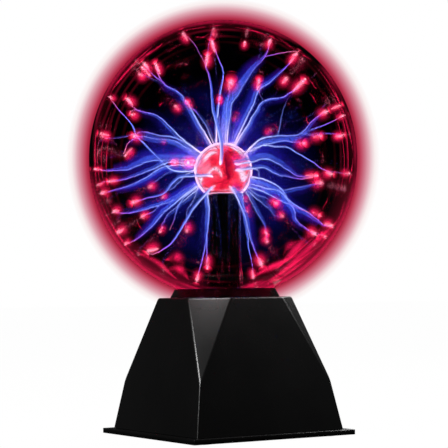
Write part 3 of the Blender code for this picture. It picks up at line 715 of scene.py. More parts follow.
class PLASMA_OT_electrode(bpy.types.Operator):
    """Model the electrode's glass ball and stem, its glowing filling, and the black tube in the stem"""

    bl_idname = "plasma.electrode"
    bl_label = "Electrode"

    def execute(self, context):
        self.glass()
        self.core()
        self.corona()
        self.roots()
        self.sleeve()
        return {"FINISHED"}

    @staticmethod
    def ball_rings(radius, floor, count):
        last = math.acos((floor - BALL_CENTRE.z) / radius)
        return [
            (radius * math.sin(last * step / count), BALL_CENTRE.z + radius * math.cos(last * step / count))
            for step in range(count + 1)
        ]

    def glass(self):
        def side(inset):
            stem, foot = 12.5 * MM - inset, 14.4 * MM - inset
            flare = NECK_RADIUS - 2.3 * MM - inset
            rings = self.ball_rings(BALL_RADIUS - inset, BALL_CUT + inset, 28)
            rings += [
                (stem + MM, BALL_CUT + inset), (stem, BALL_CUT + inset - MM), (stem, BASE_TOP + 36 * MM),
                ((stem + foot) / 2, BASE_TOP + 14 * MM), (foot, BASE_TOP - 4 * MM),
                (foot + 0.8 * MM, NECK_BOTTOM + 7 * MM), (flare, NECK_BOTTOM + 2 * MM), (flare, NECK_BOTTOM),
            ]
            return rings

        shell = turned("electrode_glass", side(0.0) + side(1.2 * MM)[::-1], 96)
        smooth(shell, 40.0)
        glass, _, _ = material("clear glass", (0.9, 0.88, 0.9), 0.0, IOR=1.45, Transmission_Weight=1.0)
        finish_piece(shell, glass, replaces=["inner_glass"])

    def core(self):
        """A knotted ball of fine wire, lit from within."""
        radius = BALL_RADIUS - 1.5 * MM
        floor = BALL_CUT + 1.5 * MM
        rings = self.ball_rings(radius, floor, 64)
        rings += [(rings[-1][0] * share, floor) for share in (0.8, 0.6, 0.4, 0.2, 0.0)]
        core = turned("electrode_filling", rings, 128)
        folds = bpy.data.textures.new("folds", "CLOUDS")
        folds.noise_scale = 7 * MM
        folds.noise_depth = 3
        apply_modifier(
            core, "DISPLACE", texture=folds, texture_coords="LOCAL", strength=1.2 * MM, mid_level=0.9,
        )
        smooth(core, 80.0)
        made, tree, shader = material("lit wire filling", (0.3, 0.05, 0.05), 0.6, Metallic=1.0)
        made.cycles.emission_sampling = "NONE"
        where = object_place(tree)
        lobes = texture(tree, where, 58.0, detail=2.0, roughness=0.4, distortion=1.6)
        wire = texture(tree, where, 400.0, detail=2.0)
        mixed = maths(tree, "ADD", lobes, maths(tree, "MULTIPLY", edge_fade(tree, (0.0, 0.0), (0.45, 1.0)), 0.16))
        mixed = maths(tree, "SUBTRACT", mixed, maths(tree, "MULTIPLY", wire, 0.05))
        stops = [
            (0.3, (0.2, 0.0, 0.02)), (0.4, (0.5, 0.004, 0.03)), (0.5, (0.9, 0.015, 0.055)),
            (0.6, (1.0, 0.04, 0.09)), (0.68, (1.0, 0.16, 0.24)), (0.77, (1.0, 0.75, 0.84)),
        ]
        tree.links.new(ramp(tree, mixed, stops), shader.inputs["Emission Color"])
        shader.inputs["Emission Strength"].default_value = bpy.context.scene.plasma_discharge.brightness
        finish_piece(core, made, replaces=["electrode_wool"])

    def corona(self):
        """The bright skin of discharge over the ball."""
        rings = self.ball_rings(BALL_RADIUS + 0.2 * MM, BALL_CUT - 0.3 * MM, 32)
        skin = turned("electrode_corona", rings + [(0.0, BALL_CUT - 0.3 * MM)], 96)
        smooth(skin, 40.0)
        made, tree, shader = material("corona", (0, 0, 0), 1.0, Specular_IOR_Level=0.0)
        made.cycles.emission_sampling = "NONE"
        shader.inputs["Emission Color"].default_value = (1.0, 0.62, 0.85, 1.0)
        shader.inputs["Emission Strength"].default_value = bpy.context.scene.plasma_discharge.brightness
        spots = levels(tree, texture(tree, object_place(tree), 60.0, detail=2.0), (0.56, 0.0), (0.7, 0.25))
        rim = edge_fade(tree, (0.4, 0.0), (0.58, 0.15), (0.65, 0.8), (0.72, 1.0))
        tree.links.new(maths(tree, "MAXIMUM", spots, rim), shader.inputs["Alpha"])
        finish_piece(skin, made)

    @staticmethod
    def roots():
        """White patches where the nearest streamers leave the ball, and the dim blue air around it."""
        settings = bpy.context.scene.plasma_discharge
        deselect()
        bpy.ops.mesh.primitive_uv_sphere_add(segments=28, ring_count=14, radius=1.0)
        model = place(added("patch"))
        patches = []
        for number, run in enumerate(run for run in discharge_runs(settings) if run.whole):
            normal = (run.path[0] - BALL_CENTRE).normalized()
            along = run.path[3] - run.path[0]
            size = (1.4 + 0.25 * (number % 4)) * MM
            patches.append(standing(run.path[0] + along * 0.2, normal, (size * 2.2, size, 0.8 * MM), along))
        spots = scattered("root_patches", model, patches)
        finish_piece(spots, light_material("root light", settings.brightness * 2.2, [(0.2, (1.0, 0.5, 0.66))], soft(0.7)))
        middle = BALL_CENTRE - VIEW_BACK * 46 * MM
        air = scattered("blue_air", model, [standing(middle, VIEW_BACK, (80 * MM, 80 * MM, 36 * MM))])
        shades = [(0.2, (0.05, 0.03, 0.6)), (0.5, (0.012, 0.01, 0.3))]
        finish_piece(air, light_material("blue air light", settings.brightness * 0.6, shades, soft(0.5), (30.0, 0.34, 0.64)))
        bpy.data.objects.remove(model)

    @staticmethod
    def sleeve():
        low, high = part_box("stem_sleeve")
        outer, inner = 11.0 * MM, 9.0 * MM
        edge = 0.3 * MM
        rings = [
            (inner, high.z), (outer - edge, high.z), (outer, high.z - edge), (outer, low.z + edge),
            (outer - edge, low.z), (inner, low.z), (inner, high.z),
        ]
        sleeve = turned("stem_tube", rings, 96)
        smooth(sleeve, 40.0)
        finish_piece(sleeve, black_plastic(), replaces=["stem_sleeve"])


# ------------------------------------------------------------------------------------------ discharge

# Each streamer: the girth of its filament, of the ribbon beside it and of its tip, the half of the globe that it ends
# in, and its course as the front camera sees it, from the electrode to the glass. A course is (right, up) from the
# globe's centre, in hundredths of its radius. Forks follow: the step that they leave at, then the same again.
STREAMERS = [
    (1.2, 1.2, 1.2, NEAR, [(-2, -3), (-2, 12), (-5, 27), (-8, 40), (-9, 57), (-12, 69), (-11, 76)],
     (5, 0.7, 0.3, 0.8, NEAR, [(-20, 83), (-29, 93)]), (5, 0.7, 0.3, 0.8, FAR, [(-9, 85), (-6, 97)])),
    (1.1, 0.8, 1.1, NEAR, [(-5, 12), (-4, 32), (-2, 43), (1, 62), (-4, 76), (-7, 86)]),
    (0.9, 0.6, 0.8, FAR, [(-1, 12), (-3, 30), (-2, 45)]),
    (0.8, 2.2, 1.7, NEAR, [(2, 12), (3, 32), (5, 49), (7, 58)]),
    (1.0, 3.4, 0.9, NEAR, [(3, 12), (6, 32), (8, 42), (16, 53), (25, 65), (33, 74), (37, 87)],
     (5, 0.8, 0.4, 0.9, NEAR, [(47, 77), (57, 77)])),
    (1.2, 2.4, 1.0, FAR, [(8, 11), (13, 21), (21, 36), (28, 49), (35, 55), (47, 65), (56, 76)]),
    (1.3, 1.6, 1.4, NEAR, [(9, 10), (17, 22), (25, 33), (30, 42), (44, 44), (54, 49), (61, 56)],
     (3, 0.8, 0.5, 0.9, NEAR, [(28, 47), (28, 57)])),
    (0.7, 1.8, 1.2, FAR, [(7, 14), (8, 22), (10, 31)]),
    (1.3, 3.8, 1.4, NEAR, [(18, 6), (27, 14), (41, 17), (58, 18), (68, 29), (79, 34)],
     (3, 0.9, 0.8, 0.8, NEAR, [(70, 22), (82, 26), (92, 31)]), (3, 0.6, 1.2, 1.2, NEAR, [(66, 16), (74, 16)]),
     (3, 0.4, 1.6, 1.2, FAR, [(74, 17), (93, 17)]), (2, 0.4, 0.5, 0.0, FAR, [(46, 36), (51, 46)])),
    (0.8, 1.6, 1.3, FAR, [(20, 8), (30, 13), (37, 21)]),
    (1.0, 1.6, 1.4, NEAR, [(20, 7), (42, 13), (55, 11), (62, 11)]),
    (1.2, 0.3, 1.1, NEAR, [(18, 5), (28, 9), (37, 9), (47, 8), (57, 3), (68, -4), (76, -9), (82, -12)],
     (6, 0.6, 0.8, 1.0, NEAR, [(90, -12), (97, -12)])),
    (1.2, 3.2, 1.1, NEAR, [(10, -4), (21, -2), (30, 0), (40, -3), (48, -9), (57, -13), (69, -13)]),
    (1.1, 1.6, 0.0, NEAR, [(11, -8), (21, -7), (30, -7), (38, -10), (47, -13), (57, -15), (66, -14)]),
    (0.6, 2.4, 1.5, FAR, [(20, -13), (30, -19), (42, -22), (57, -21), (69, -19), (76, -19)]),
    (1.1, 0.3, 0.0, NEAR, [(20, -6), (25, -8), (27, -14), (26, -19), (30, -23)]),
    (1.3, 3.6, 1.2, NEAR, [(20, -13), (30, -15), (40, -20), (48, -30), (57, -36), (65, -41), (74, -48), (83, -51)],
     (5, 0.8, 0.6, 1.2, NEAR, [(72, -42)])),
    (1.3, 2.2, 1.3, NEAR, [(20, -18), (30, -21), (42, -24), (50, -34), (54, -44), (61, -51), (69, -56)],
     (5, 0.6, 0.6, 0.9, FAR, [(70, -55), (78, -59)])),
    (1.2, 1.2, 0.0, NEAR, [(19, -20), (32, -25), (42, -30), (51, -34), (63, -39)]),
    (0.8, 1.0, 1.2, NEAR, [(18, -21), (30, -28), (40, -33)]),
    (1.0, 2.4, 1.2, FAR, [(17, -22), (25, -29), (33, -35), (38, -41), (45, -43)]),
    (0.5, 1.6, 1.0, FAR, [(16, -23), (24, -38), (30, -48), (33, -62)]),
    (1.3, 2.4, 1.7, NEAR, [(6, -21), (11, -29), (14, -37), (17, -49), (21, -63), (28, -78)]),
    (0.6, 1.0, 1.0, FAR, [(14, -24), (16, -44), (19, -64), (22, -88)]),
    (1.3, 1.6, 1.2, NEAR, [(-12, -24), (-11, -37), (-12, -51), (-13, -64), (-13, -78)],
     (2, 0.8, 0.8, 0.9, NEAR, [(-17, -74), (-21, -88)])),
    (0.9, 2.4, 1.7, FAR, [(-21, -22), (-27, -38), (-29, -53)]),
    (1.2, 1.2, 1.4, NEAR, [(-8, -20), (-16, -29), (-23, -37), (-31, -48), (-38, -59), (-50, -67), (-57, -67)]),
    (1.1, 1.0, 0.0, NEAR, [(-20, -20), (-30, -27), (-35, -37), (-40, -50)]),
    (1.1, 1.8, 1.0, FAR, [(-20, -19), (-38, -29), (-52, -34), (-68, -38), (-85, -38)]),
    (1.2, 2.2, 0.7, NEAR, [(-20, -20), (-35, -30), (-45, -38), (-54, -48), (-64, -56), (-76, -62)]),
    (0.9, 2.0, 1.1, FAR, [(-21, -22), (-35, -34), (-45, -44), (-49, -53)]),
    (0.8, 1.2, 1.2, FAR, [(-22, -18), (-40, -28), (-55, -38), (-63, -42)]),
    (1.0, 1.4, 1.1, NEAR, [(-9, -12), (-22, -12), (-35, -15), (-44, -23), (-57, -27), (-69, -31)]),
    (1.1, 3.4, 1.1, FAR, [(-22, -8), (-30, -12), (-36, -19), (-44, -23), (-47, -28)]),
    (0.5, 1.0, 1.1, FAR, [(-22, -6), (-40, -9), (-50, -15), (-57, -20)]),
    (1.1, 2.0, 1.0, NEAR, [(-22, -3), (-42, -2), (-59, -8), (-74, -13), (-86, -15)],
     (3, 0.7, 0.4, 0.7, FAR, [(-88, -15), (-97, -18)])),
    (1.1, 1.8, 0.9, FAR, [(-22, -4), (-44, -5), (-59, -13), (-75, -20), (-94, -24)]),
    (1.2, 3.4, 0.5, NEAR, [(-22, 0), (-44, 0), (-59, -2), (-76, -7), (-97, -6)]),
    (1.2, 3.8, 1.3, NEAR, [(-20, 8), (-33, 15), (-47, 18), (-60, 20), (-68, 18)],
     (3, 0.4, 1.6, 1.2, FAR, [(-80, 16), (-93, 18)])),
    (0.9, 2.4, 1.1, FAR, [(-21, 4), (-35, 13), (-50, 16), (-64, 17), (-72, 12), (-75, 5)]),
    (0.9, 0.8, 0.4, NEAR, [(-22, -8), (-38, -7), (-52, 5), (-64, 18), (-68, 27), (-78, 38), (-85, 47)]),
    (1.3, 2.4, 1.1, NEAR, [(-17, 5), (-24, 10), (-33, 18), (-41, 27), (-50, 32), (-63, 36), (-69, 34)],
     (5, 0.6, 0.6, 1.2, NEAR, [(-68, 40), (-72, 45)])),
    (1.3, 1.8, 1.2, NEAR, [(-9, 11), (-18, 27), (-25, 40), (-28, 44), (-33, 50), (-42, 54), (-47, 61), (-50, 70)],
     (5, 0.6, 0.8, 1.1, NEAR, [(-50, 61), (-59, 71)]), (5, 0.4, 1.8, 1.3, FAR, [(-52, 59), (-64, 65)])),
    (1.1, 1.4, 0.8, NEAR, [(-7, 12), (-13, 25), (-21, 35), (-26, 42)]),
    (0.5, 4.0, 1.1, FAR, [(-21, 1), (-30, 2), (-39, 1)]),
]
# Tips with no streamer in sight: right, up, half, and girth.
LONE_TIPS = [
    (18, 87, FAR, 0.6), (50, 60, FAR, 1.4), (17, -31, FAR, 1.0), (18, -39, FAR, 0.8), (-81, -53, NEAR, 1.0),
    (-36, 40, FAR, 1.2), (-26, -2, NEAR, 1.3), (-37, -2, NEAR, 0.8), (88, 38, NEAR, 0.8), (-92, 20, NEAR, 0.9), (-61, 69, FAR, 1.2),
    (-46, 14, FAR, 0.5), (32, -55, NEAR, 0.8), (90, 16, NEAR, 0.8), (-2, 44, NEAR, 0.6),
]
# Streaks of glow along the glass: the angles that it runs between, counted from the right as the front camera sees it,
# how far out it lies as a share of the radius, its half, and its girth.
STREAKS = [
    (-20, -76, 0.985, NEAR, 2.2), (-28, -72, 0.955, NEAR, 5.5), (-34, -64, 0.9, FAR, 6.0), (-42, -76, 0.93, NEAR, 1.4),
    (-62, -90, 0.97, NEAR, 3.6), (-46, -58, 0.84, FAR, 5.0), (-52, -78, 0.9, FAR, 4.5), (-36, -70, 0.87, NEAR, 0.9),
    (-95, -128, 0.975, NEAR, 2.4), (-112, -136, 0.94, FAR, 4.0), (-111, -122, 0.86, FAR, 7.5), (-107, -119, 0.9, NEAR, 5.0),
    (-128, -166, 0.985, NEAR, 1.6), (150, 212, 0.93, NEAR, 0.45), (155, 205, 0.9, NEAR, 0.4),
    (160, 198, 0.865, NEAR, 0.35), (140, 175, 0.965, NEAR, 0.6), (120, 152, 0.985, NEAR, 1.8),
    (-16, 34, 0.93, NEAR, 0.45), (-20, 24, 0.895, NEAR, 0.4), (22, 44, 0.96, NEAR, 0.8), (2, 34, 0.985, NEAR, 1.6),
    (-30, 0, 0.985, NEAR, 1.8), (60, 84, 0.955, NEAR, 0.8), (84, 108, 0.985, NEAR, 1.2), (46, 66, 0.985, NEAR, 2.0),
    (117, 132, 0.95, NEAR, 1.4), (118, 124, 0.8, FAR, 1.0), (119, 125, 0.72, FAR, 0.9), (136, 141, 0.62, FAR, 0.8),
    (35, 42, 0.88, FAR, 0.9), (29, 36, 0.82, FAR, 0.7), (-20, -27, 0.84, FAR, 0.7), (96, 103, 0.9, NEAR, 0.7),
    (112, 117, 0.9, FAR, 0.9), (20, 26, 0.7, FAR, 0.6), (-140, -146, 0.8, FAR, 0.8), (165, 196, 0.985, NEAR, 1.6),
]
INNER_SHARE = 0.972


def eye():
    """Where the front camera stands."""
    stage = bpy.context.scene.plasma_stage
    return VIEW_BACK * stage.distance + UP * stage.height


def line_of_sight(right, up):
    """A place beside the globe's centre as the front camera sees it, and the direction from there to the camera."""
    where = GLOBE_CENTRE + (VIEW_RIGHT * right + UP * up * GLOBE_STRETCH) * GLOBE_RADIUS / 100
    return where, (eye() - where).normalized()


def sphere_depth(where, toward, centre, radius, half, squash=1.0):
    """How far along a line of sight a sphere is met, on its near or far half, or else passed most closely."""
    scale = Vector((1, 1, 1 / squash))
    gap, step = (where - centre) * scale, toward * scale
    a, b, c = step.dot(step), gap.dot(step), gap.dot(gap) - radius * radius
    return (-b + half * math.sqrt(max(0.0, b * b - a * c))) / a


def glass_point(right, up, half, share=INNER_SHARE):
    """The point on the inside of the glass that is seen at a place."""
    where, toward = line_of_sight(right, up)
    depth = sphere_depth(where, toward, GLOBE_CENTRE, GLOBE_RADIUS * share, half, GLOBE_STRETCH)
    gap = (where + toward * depth - GLOBE_CENTRE) * Vector((1, 1, 1 / GLOBE_STRETCH))
    return GLOBE_CENTRE + gap.normalized() * GLOBE_RADIUS * share * Vector((1, 1, GLOBE_STRETCH))


def glass_normal(point):
    gap = point - GLOBE_CENTRE
    return Vector((gap.x, gap.y, gap.z / GLOBE_STRETCH**2)).normalized()


def depth_of(point):
    return (point - GLOBE_CENTRE).dot(VIEW_BACK)


def root_point(right, up, half):
    """The point on the electrode that a streamer leaves from."""
    where, toward = line_of_sight(right, up)
    radius = BALL_RADIUS + 0.2 * MM
    point = where + toward * sphere_depth(where, toward, BALL_CENTRE, radius, half)
    point = BALL_CENTRE + (point - BALL_CENTRE).normalized() * radius
    point.z = max(point.z, BALL_CUT + 0.5 * MM)
    return point


def course_points(start, course, half):
    """Places a course in space: it gains depth steadily from its start to its tip on the glass."""
    tip = glass_point(*course[-1], half)
    flat = [line_of_sight(*place) for place in course[:-1]]
    spots = [start] + [where for where, _ in flat] + [tip]
    lengths = [0.0]
    for before, after in zip(spots, spots[1:]):
        across = (after - before) - VIEW_BACK * (after - before).dot(VIEW_BACK)
        lengths.append(lengths[-1] + across.length)
    points = [start]
    for (where, toward), length in zip(flat, lengths[1:]):
        share = length / max(lengths[-1], 1e-6)
        points.append(where + toward * (depth_of(start) + (depth_of(tip) - depth_of(start)) * share))
    return points + [tip]


def rounded(points, steps, tension=0.5):
    """A smooth path through all the points, and the number of its points between two of them."""
    ends = [points[0] * 2 - points[1], *points, points[-1] * 2 - points[-2]]
    path = [points[0]]
    for before, first, second, after in zip(ends, ends[1:], ends[2:], ends[3:]):
        pull, push = (second - before) * tension, (after - first) * tension
        for step in range(1, steps + 1):
            t = step / steps
            path.append(
                first * (2 * t**3 - 3 * t**2 + 1) + pull * (t**3 - 2 * t**2 + t)
                + second * (3 * t**2 - 2 * t**3) + push * (t**3 - t**2)
            )
    return path


def wander(path, amount, seed):
    """Shakes the middle of a path sideways with smooth noise, and leaves its ends."""
    dice = random.Random(seed)
    start = Vector((dice.uniform(0, 100), dice.uniform(0, 100), dice.uniform(0, 100)))
    travelled, shaken = 0.0, []
    for step, point in enumerate(path):
        travelled += (point - path[max(step - 1, 0)]).length
        hold = math.sin(math.pi * step / (len(path) - 1)) ** 0.5
        slow = noise.noise_vector(start + UP * travelled / (16 * MM))
        quick = noise.noise_vector(start * 2 + UP * travelled / (5 * MM))
        shaken.append(point + (slow + quick * 0.35) * amount * hold)
    return shaken


class Run:
    """One unforked length of discharge."""

    def __init__(self, path, filament, ribbon, tip, begun, whole):
        self.path, self.filament, self.ribbon, self.tip = path, filament, ribbon, tip
        self.begun, self.whole = begun, whole


def discharge_runs(settings):
    """The runs of all streamers and their forks, placed in space."""
    runs, steps = [], 7
    for number, (filament, ribbon, tip, half, course, *forks) in enumerate(STREAMERS):
        start = root_point(*course[0], half if abs(course[0][0]) + abs(course[0][1] + 9) < 20 else NEAR)
        points = course_points(start, course[1:], half)
        seed = settings.seed * 1000 + number
        path = wander(rounded(points, steps), 1.4 * MM, seed)
        runs.append(Run(path, filament, ribbon, tip, 0.0, True))
        for turn, (leave, *girths, fork_half, fork_course) in enumerate(forks):
            joint = path[leave * steps]
            fork_points = course_points(joint, fork_course, fork_half)
            fork = wander(rounded(fork_points, steps), 0.8 * MM, seed + 100 * (turn + 1))
            runs.append(Run(fork, *girths, leave / (len(course) - 1), False))
    return runs


def sideways(path, step):
    """A direction across the path, level with the picture."""
    ahead = path[min(step + 1, len(path) - 1)] - path[max(step - 1, 0)]
    side = ahead.cross(VIEW_BACK)
    return side.normalized() if side.length > 1e-7 else UP


def swept(name, runs, flatness, sides):
    """Tubes of an oval section along runs of (place, size, twist), as one mesh piece."""
    deselect()
    bpy.ops.curve.primitive_bezier_circle_add(radius=1.0)
    section = added("section")
    section.scale = (1.0, flatness, 1.0)
    section.data.resolution_u = sides // 4
    place(section)
    deselect()
    bpy.ops.object.add(type="CURVE")
    piece = added(name)
    curve = piece.data
    curve.dimensions = "3D"
    curve.twist_mode = "MINIMUM"
    curve.bevel_mode = "OBJECT"
    curve.bevel_object = section
    curve.use_fill_caps = True
    for run in runs:
        spline = curve.splines.new("POLY")
        spline.points.add(len(run) - 1)
        for point, (where, size, twist) in zip(spline.points, run):
            point.co = (*where, 1.0)
            point.radius = size
            point.tilt = twist
    activate(piece)
    bpy.ops.object.convert(target="MESH")
    piece = bpy.context.object
    bpy.data.objects.remove(section)
    tidy_mesh(piece)
    smooth(piece, 60.0)
    return piece


def scattered(name, model, matrices):
    """Copies of a modelled shape, each turned and sized by a matrix, and joined as one piece."""
    deselect()
    for matrix in matrices:
        copy = model.copy()
        copy.data = model.data.copy()
        copy.matrix_world = matrix
        bpy.context.collection.objects.link(copy)
        copy.select_set(True)
        bpy.context.view_layer.objects.active = copy
    bpy.ops.object.transform_apply(location=True, rotation=True, scale=True)
    if len(matrices) > 1:
        bpy.ops.object.join()
    piece = bpy.context.object
    piece.name = piece.data.name = name
    smooth(piece, 80.0)
    return piece


def standing(where, axis, size, along=None):
    """A matrix that stands a shape at a place, its Z on an axis, with a size for each of its own axes."""
    z = axis.normalized()
    x = along or z.orthogonal()
    x = (x - z * x.dot(z)).normalized()
    turn = Matrix((x, z.cross(x), z)).transposed().to_4x4()
    return Matrix.Translation(where) @ turn @ Matrix.Diagonal((*size, 1.0))


def drop_model():
    """A drop: a sphere whose lower pole is drawn out."""
    deselect()
    bpy.ops.mesh.primitive_uv_sphere_add(segments=24, ring_count=16, radius=1.0)
    drop = place(added("drop"))
    edit(drop)
    pick(drop, "VERT", lambda vert: vert.co.z < -0.99)
    bpy.ops.transform.translate(
        value=(0, 0, -0.9), use_proportional_edit=True, proportional_edit_falloff="SMOOTH", proportional_size=1.6,
    )
    bpy.ops.object.mode_set(mode="OBJECT")
    return drop


def soft(level):
    """The fade of a round thing that is bright in the middle and has no edge."""
    shares = [(0.0, 1.0), (0.03, 0.66), (0.07, 0.42), (0.13, 0.22), (0.2, 0.1), (0.29, 0.045), (0.5, 0.008), (0.8, 0.0)]
    return [(facing, level * share) for facing, share in shares]


def broad(level):
    """A fade that stays bright further out before it dies away."""
    shares = [(0.0, 1.0), (0.04, 0.85), (0.09, 0.64), (0.16, 0.43), (0.26, 0.24), (0.4, 0.1), (0.58, 0.025), (0.85, 0.0)]
    return [(facing, level * share) for facing, share in shares]


class PLASMA_OT_streamers(bpy.types.Operator):
    """Draw the bright filaments, the blue ribbons beside them and the haze around them"""

    bl_idname = "plasma.streamers"
    bl_label = "Streamers"

    def execute(self, context):
        settings = context.scene.plasma_discharge
        light = settings.brightness
        filaments, ribbons, hazes = [], [], []
        for number, run in enumerate(discharge_runs(settings)):
            side = random.Random(number).choice((-1, 1))
            last = len(run.path) - 1
            filament, ribbon, haze = [], [], []
            for step, point in enumerate(run.path):
                own = step / last
                share = run.begun + (1 - run.begun) * own
                thick = settings.filament * (0.35 + 0.65 * run.filament) * (1.3 - 0.85 * share)
                filament.append((point, thick, 0.0))
                swell = math.sin(math.pi * min(1.0, 0.2 + own * 0.8)) ** 0.7 * (1.1 - 0.75 * share)
                wide = settings.ribbon * run.ribbon * max(swell, 0.03)
                shift = sideways(run.path, step) * side * wide * 0.8
                ribbon.append((point + shift, wide, own * 1.2 * side))
                fog = settings.ribbon * (2 + run.ribbon * 1.5) * math.sin(math.pi * min(1.0, 0.2 + own * 0.8)) ** 0.8
                haze.append((point + shift * 1.5, max(fog, 0.2 * MM), 0.0))
            filaments.append(filament)
            ribbons.append(ribbon)
            if run.whole and run.ribbon > 1.5:
                hazes.append(haze[: len(haze) * 5 // 6])
        self.finish_filaments(swept("filaments", filaments, 1.0, 8), light)
        self.finish_ribbons(swept("ribbons", ribbons, 0.5, 16), light)
        self.finish_haze(swept("haze", hazes, 1.0, 16), light)
        return {"FINISHED"}

    @staticmethod
    def finish_filaments(piece, light):
        stops = [
            (0.2, (1.0, 0.8, 1.0)), (0.29, (0.55, 0.62, 1.0)), (0.5, (0.27, 0.4, 1.0)), (0.74, (0.24, 0.28, 1.0)),
            (0.85, (0.45, 0.15, 0.95)), (0.92, (0.9, 0.2, 0.5)), (0.97, (1.0, 0.3, 0.42)),
        ]
        finish_piece(piece, light_material("filament light", light, stops, [(0.0, 0.95), (0.4, 0.6), (0.8, 0.1)]))

    @staticmethod
    def finish_ribbons(piece, light):
        stops = [
            (0.2, (0.4, 0.4, 1.0)), (0.32, (0.13, 0.24, 1.0)), (0.6, (0.07, 0.16, 0.95)), (0.78, (0.06, 0.09, 0.75)),
            (0.88, (0.15, 0.03, 0.45)), (0.96, (0.8, 0.03, 0.15)),
        ]
        fade = [(0.0, 0.6), (0.1, 0.5), (0.3, 0.3), (0.6, 0.08), (0.85, 0.0)]
        finish_piece(piece, light_material("ribbon light", light * 0.8, stops, fade))

    @staticmethod
    def finish_haze(piece, light):
        stops = [
            (0.2, (0.1, 0.06, 0.9)), (0.4, (0.02, 0.025, 0.5)), (0.7, (0.025, 0.01, 0.35)), (0.9, (0.08, 0.0, 0.12)),
        ]
        finish_piece(piece, light_material("haze light", light * 1.1, stops, broad(0.3)))


class PLASMA_OT_tips(bpy.types.Operator):
    """Model the pink drops and red glows of the tips, and the streaks of glow along the glass"""

    bl_idname = "plasma.tips"
    bl_label = "Streamer Tips"

    def execute(self, context):
        settings = context.scene.plasma_discharge
        light = settings.brightness
        tips = [
            (run.path[-1], run.tip, run.path[-1] - run.path[-4]) for run in discharge_runs(settings) if run.tip
        ]
        for right, up, half, girth in LONE_TIPS:
            where = glass_point(right, up, half)
            tips.append((where, girth, glass_normal(where)))
        dice = random.Random(settings.seed)
        cores, glows, pads = [], [], []
        for where, girth, ahead in tips:
            normal = glass_normal(where)
            axis = (ahead.normalized() + normal * 0.5).normalized()
            size = (1.1 + 1.4 * girth) * dice.uniform(0.9, 1.15) * MM
            drawn = dice.choice((1.0, 1.05, 1.15, 1.3, 1.5))
            slim = size / drawn ** 0.4
            cores.append(standing(where - normal * size * 1.1, axis, (slim, slim, size * drawn)))
            size = size * 2.1 + 1.2 * MM
            slim = size / drawn ** 0.25
            glows.append(standing(where - normal * size * 0.8, axis, (slim, slim, size * drawn**0.4)))
            pads.append(standing(where - normal * 0.6 * MM, normal, (size * 0.75, size * 0.75, 0.7 * MM)))
        deselect()
        bpy.ops.mesh.primitive_uv_sphere_add(segments=28, ring_count=14, radius=1.0)
        pad, drop = place(added("pad")), drop_model()
        core_piece = scattered("tip_cores", drop, cores)
        glow_piece = scattered("tip_glows", pad, glows)
        pad_piece = scattered("tip_pads", pad, pads)
        for model in (drop, pad):
            bpy.data.objects.remove(model)
        hot = [(0.3, (1.0, 0.25, 0.6)), (0.8, (1.0, 0.32, 0.44)), (0.99, (1.0, 0.36, 0.42))]
        red = [(0.3, (0.8, 0.02, 0.4)), (0.7, (1.0, 0.015, 0.14)), (0.99, (0.9, 0.01, 0.07))]
        finish_piece(core_piece, light_material("tip core light", light * 3.2, hot, soft(0.35)))
        finish_piece(glow_piece, light_material("tip glow light", light * 2.0, red, soft(0.3)))
        pad_fade = [(0.0, 0.25), (0.02, 0.1), (0.05, 0.02), (0.1, 0.0), (0.8, 0.0), (0.88, 0.12), (0.96, 0.3)]
        finish_piece(pad_piece, light_material("tip pad light", light * 1.5, red, pad_fade))
        streaks = swept("glass_streaks", self.streaks(), 1.0, 12)
        finish_piece(streaks, light_material("streak light", light * 2.3, red, soft(0.3), (22.0, 0.34, 0.6)))
        return {"FINISHED"}

    @staticmethod
    def streaks():
        """Runs of (place, size, twist) that bend along the glass, and thin out at both ends."""
        runs = []
        for first, last, reach, half, girth in STREAKS:
            run, count = [], 24
            for step in range(count + 1):
                around = math.radians(first + (last - first) * step / count)
                reached = reach + 0.004 * math.sin(step * 0.3 + first)
                where = glass_point(100 * reached * math.cos(around), 100 * reached * math.sin(around), half)
                size = girth * MM * max(0.1, math.sin(math.pi * step / count))
                run.append((where - glass_normal(where) * size, size, 0.0))
            runs.append(run)
        return runs


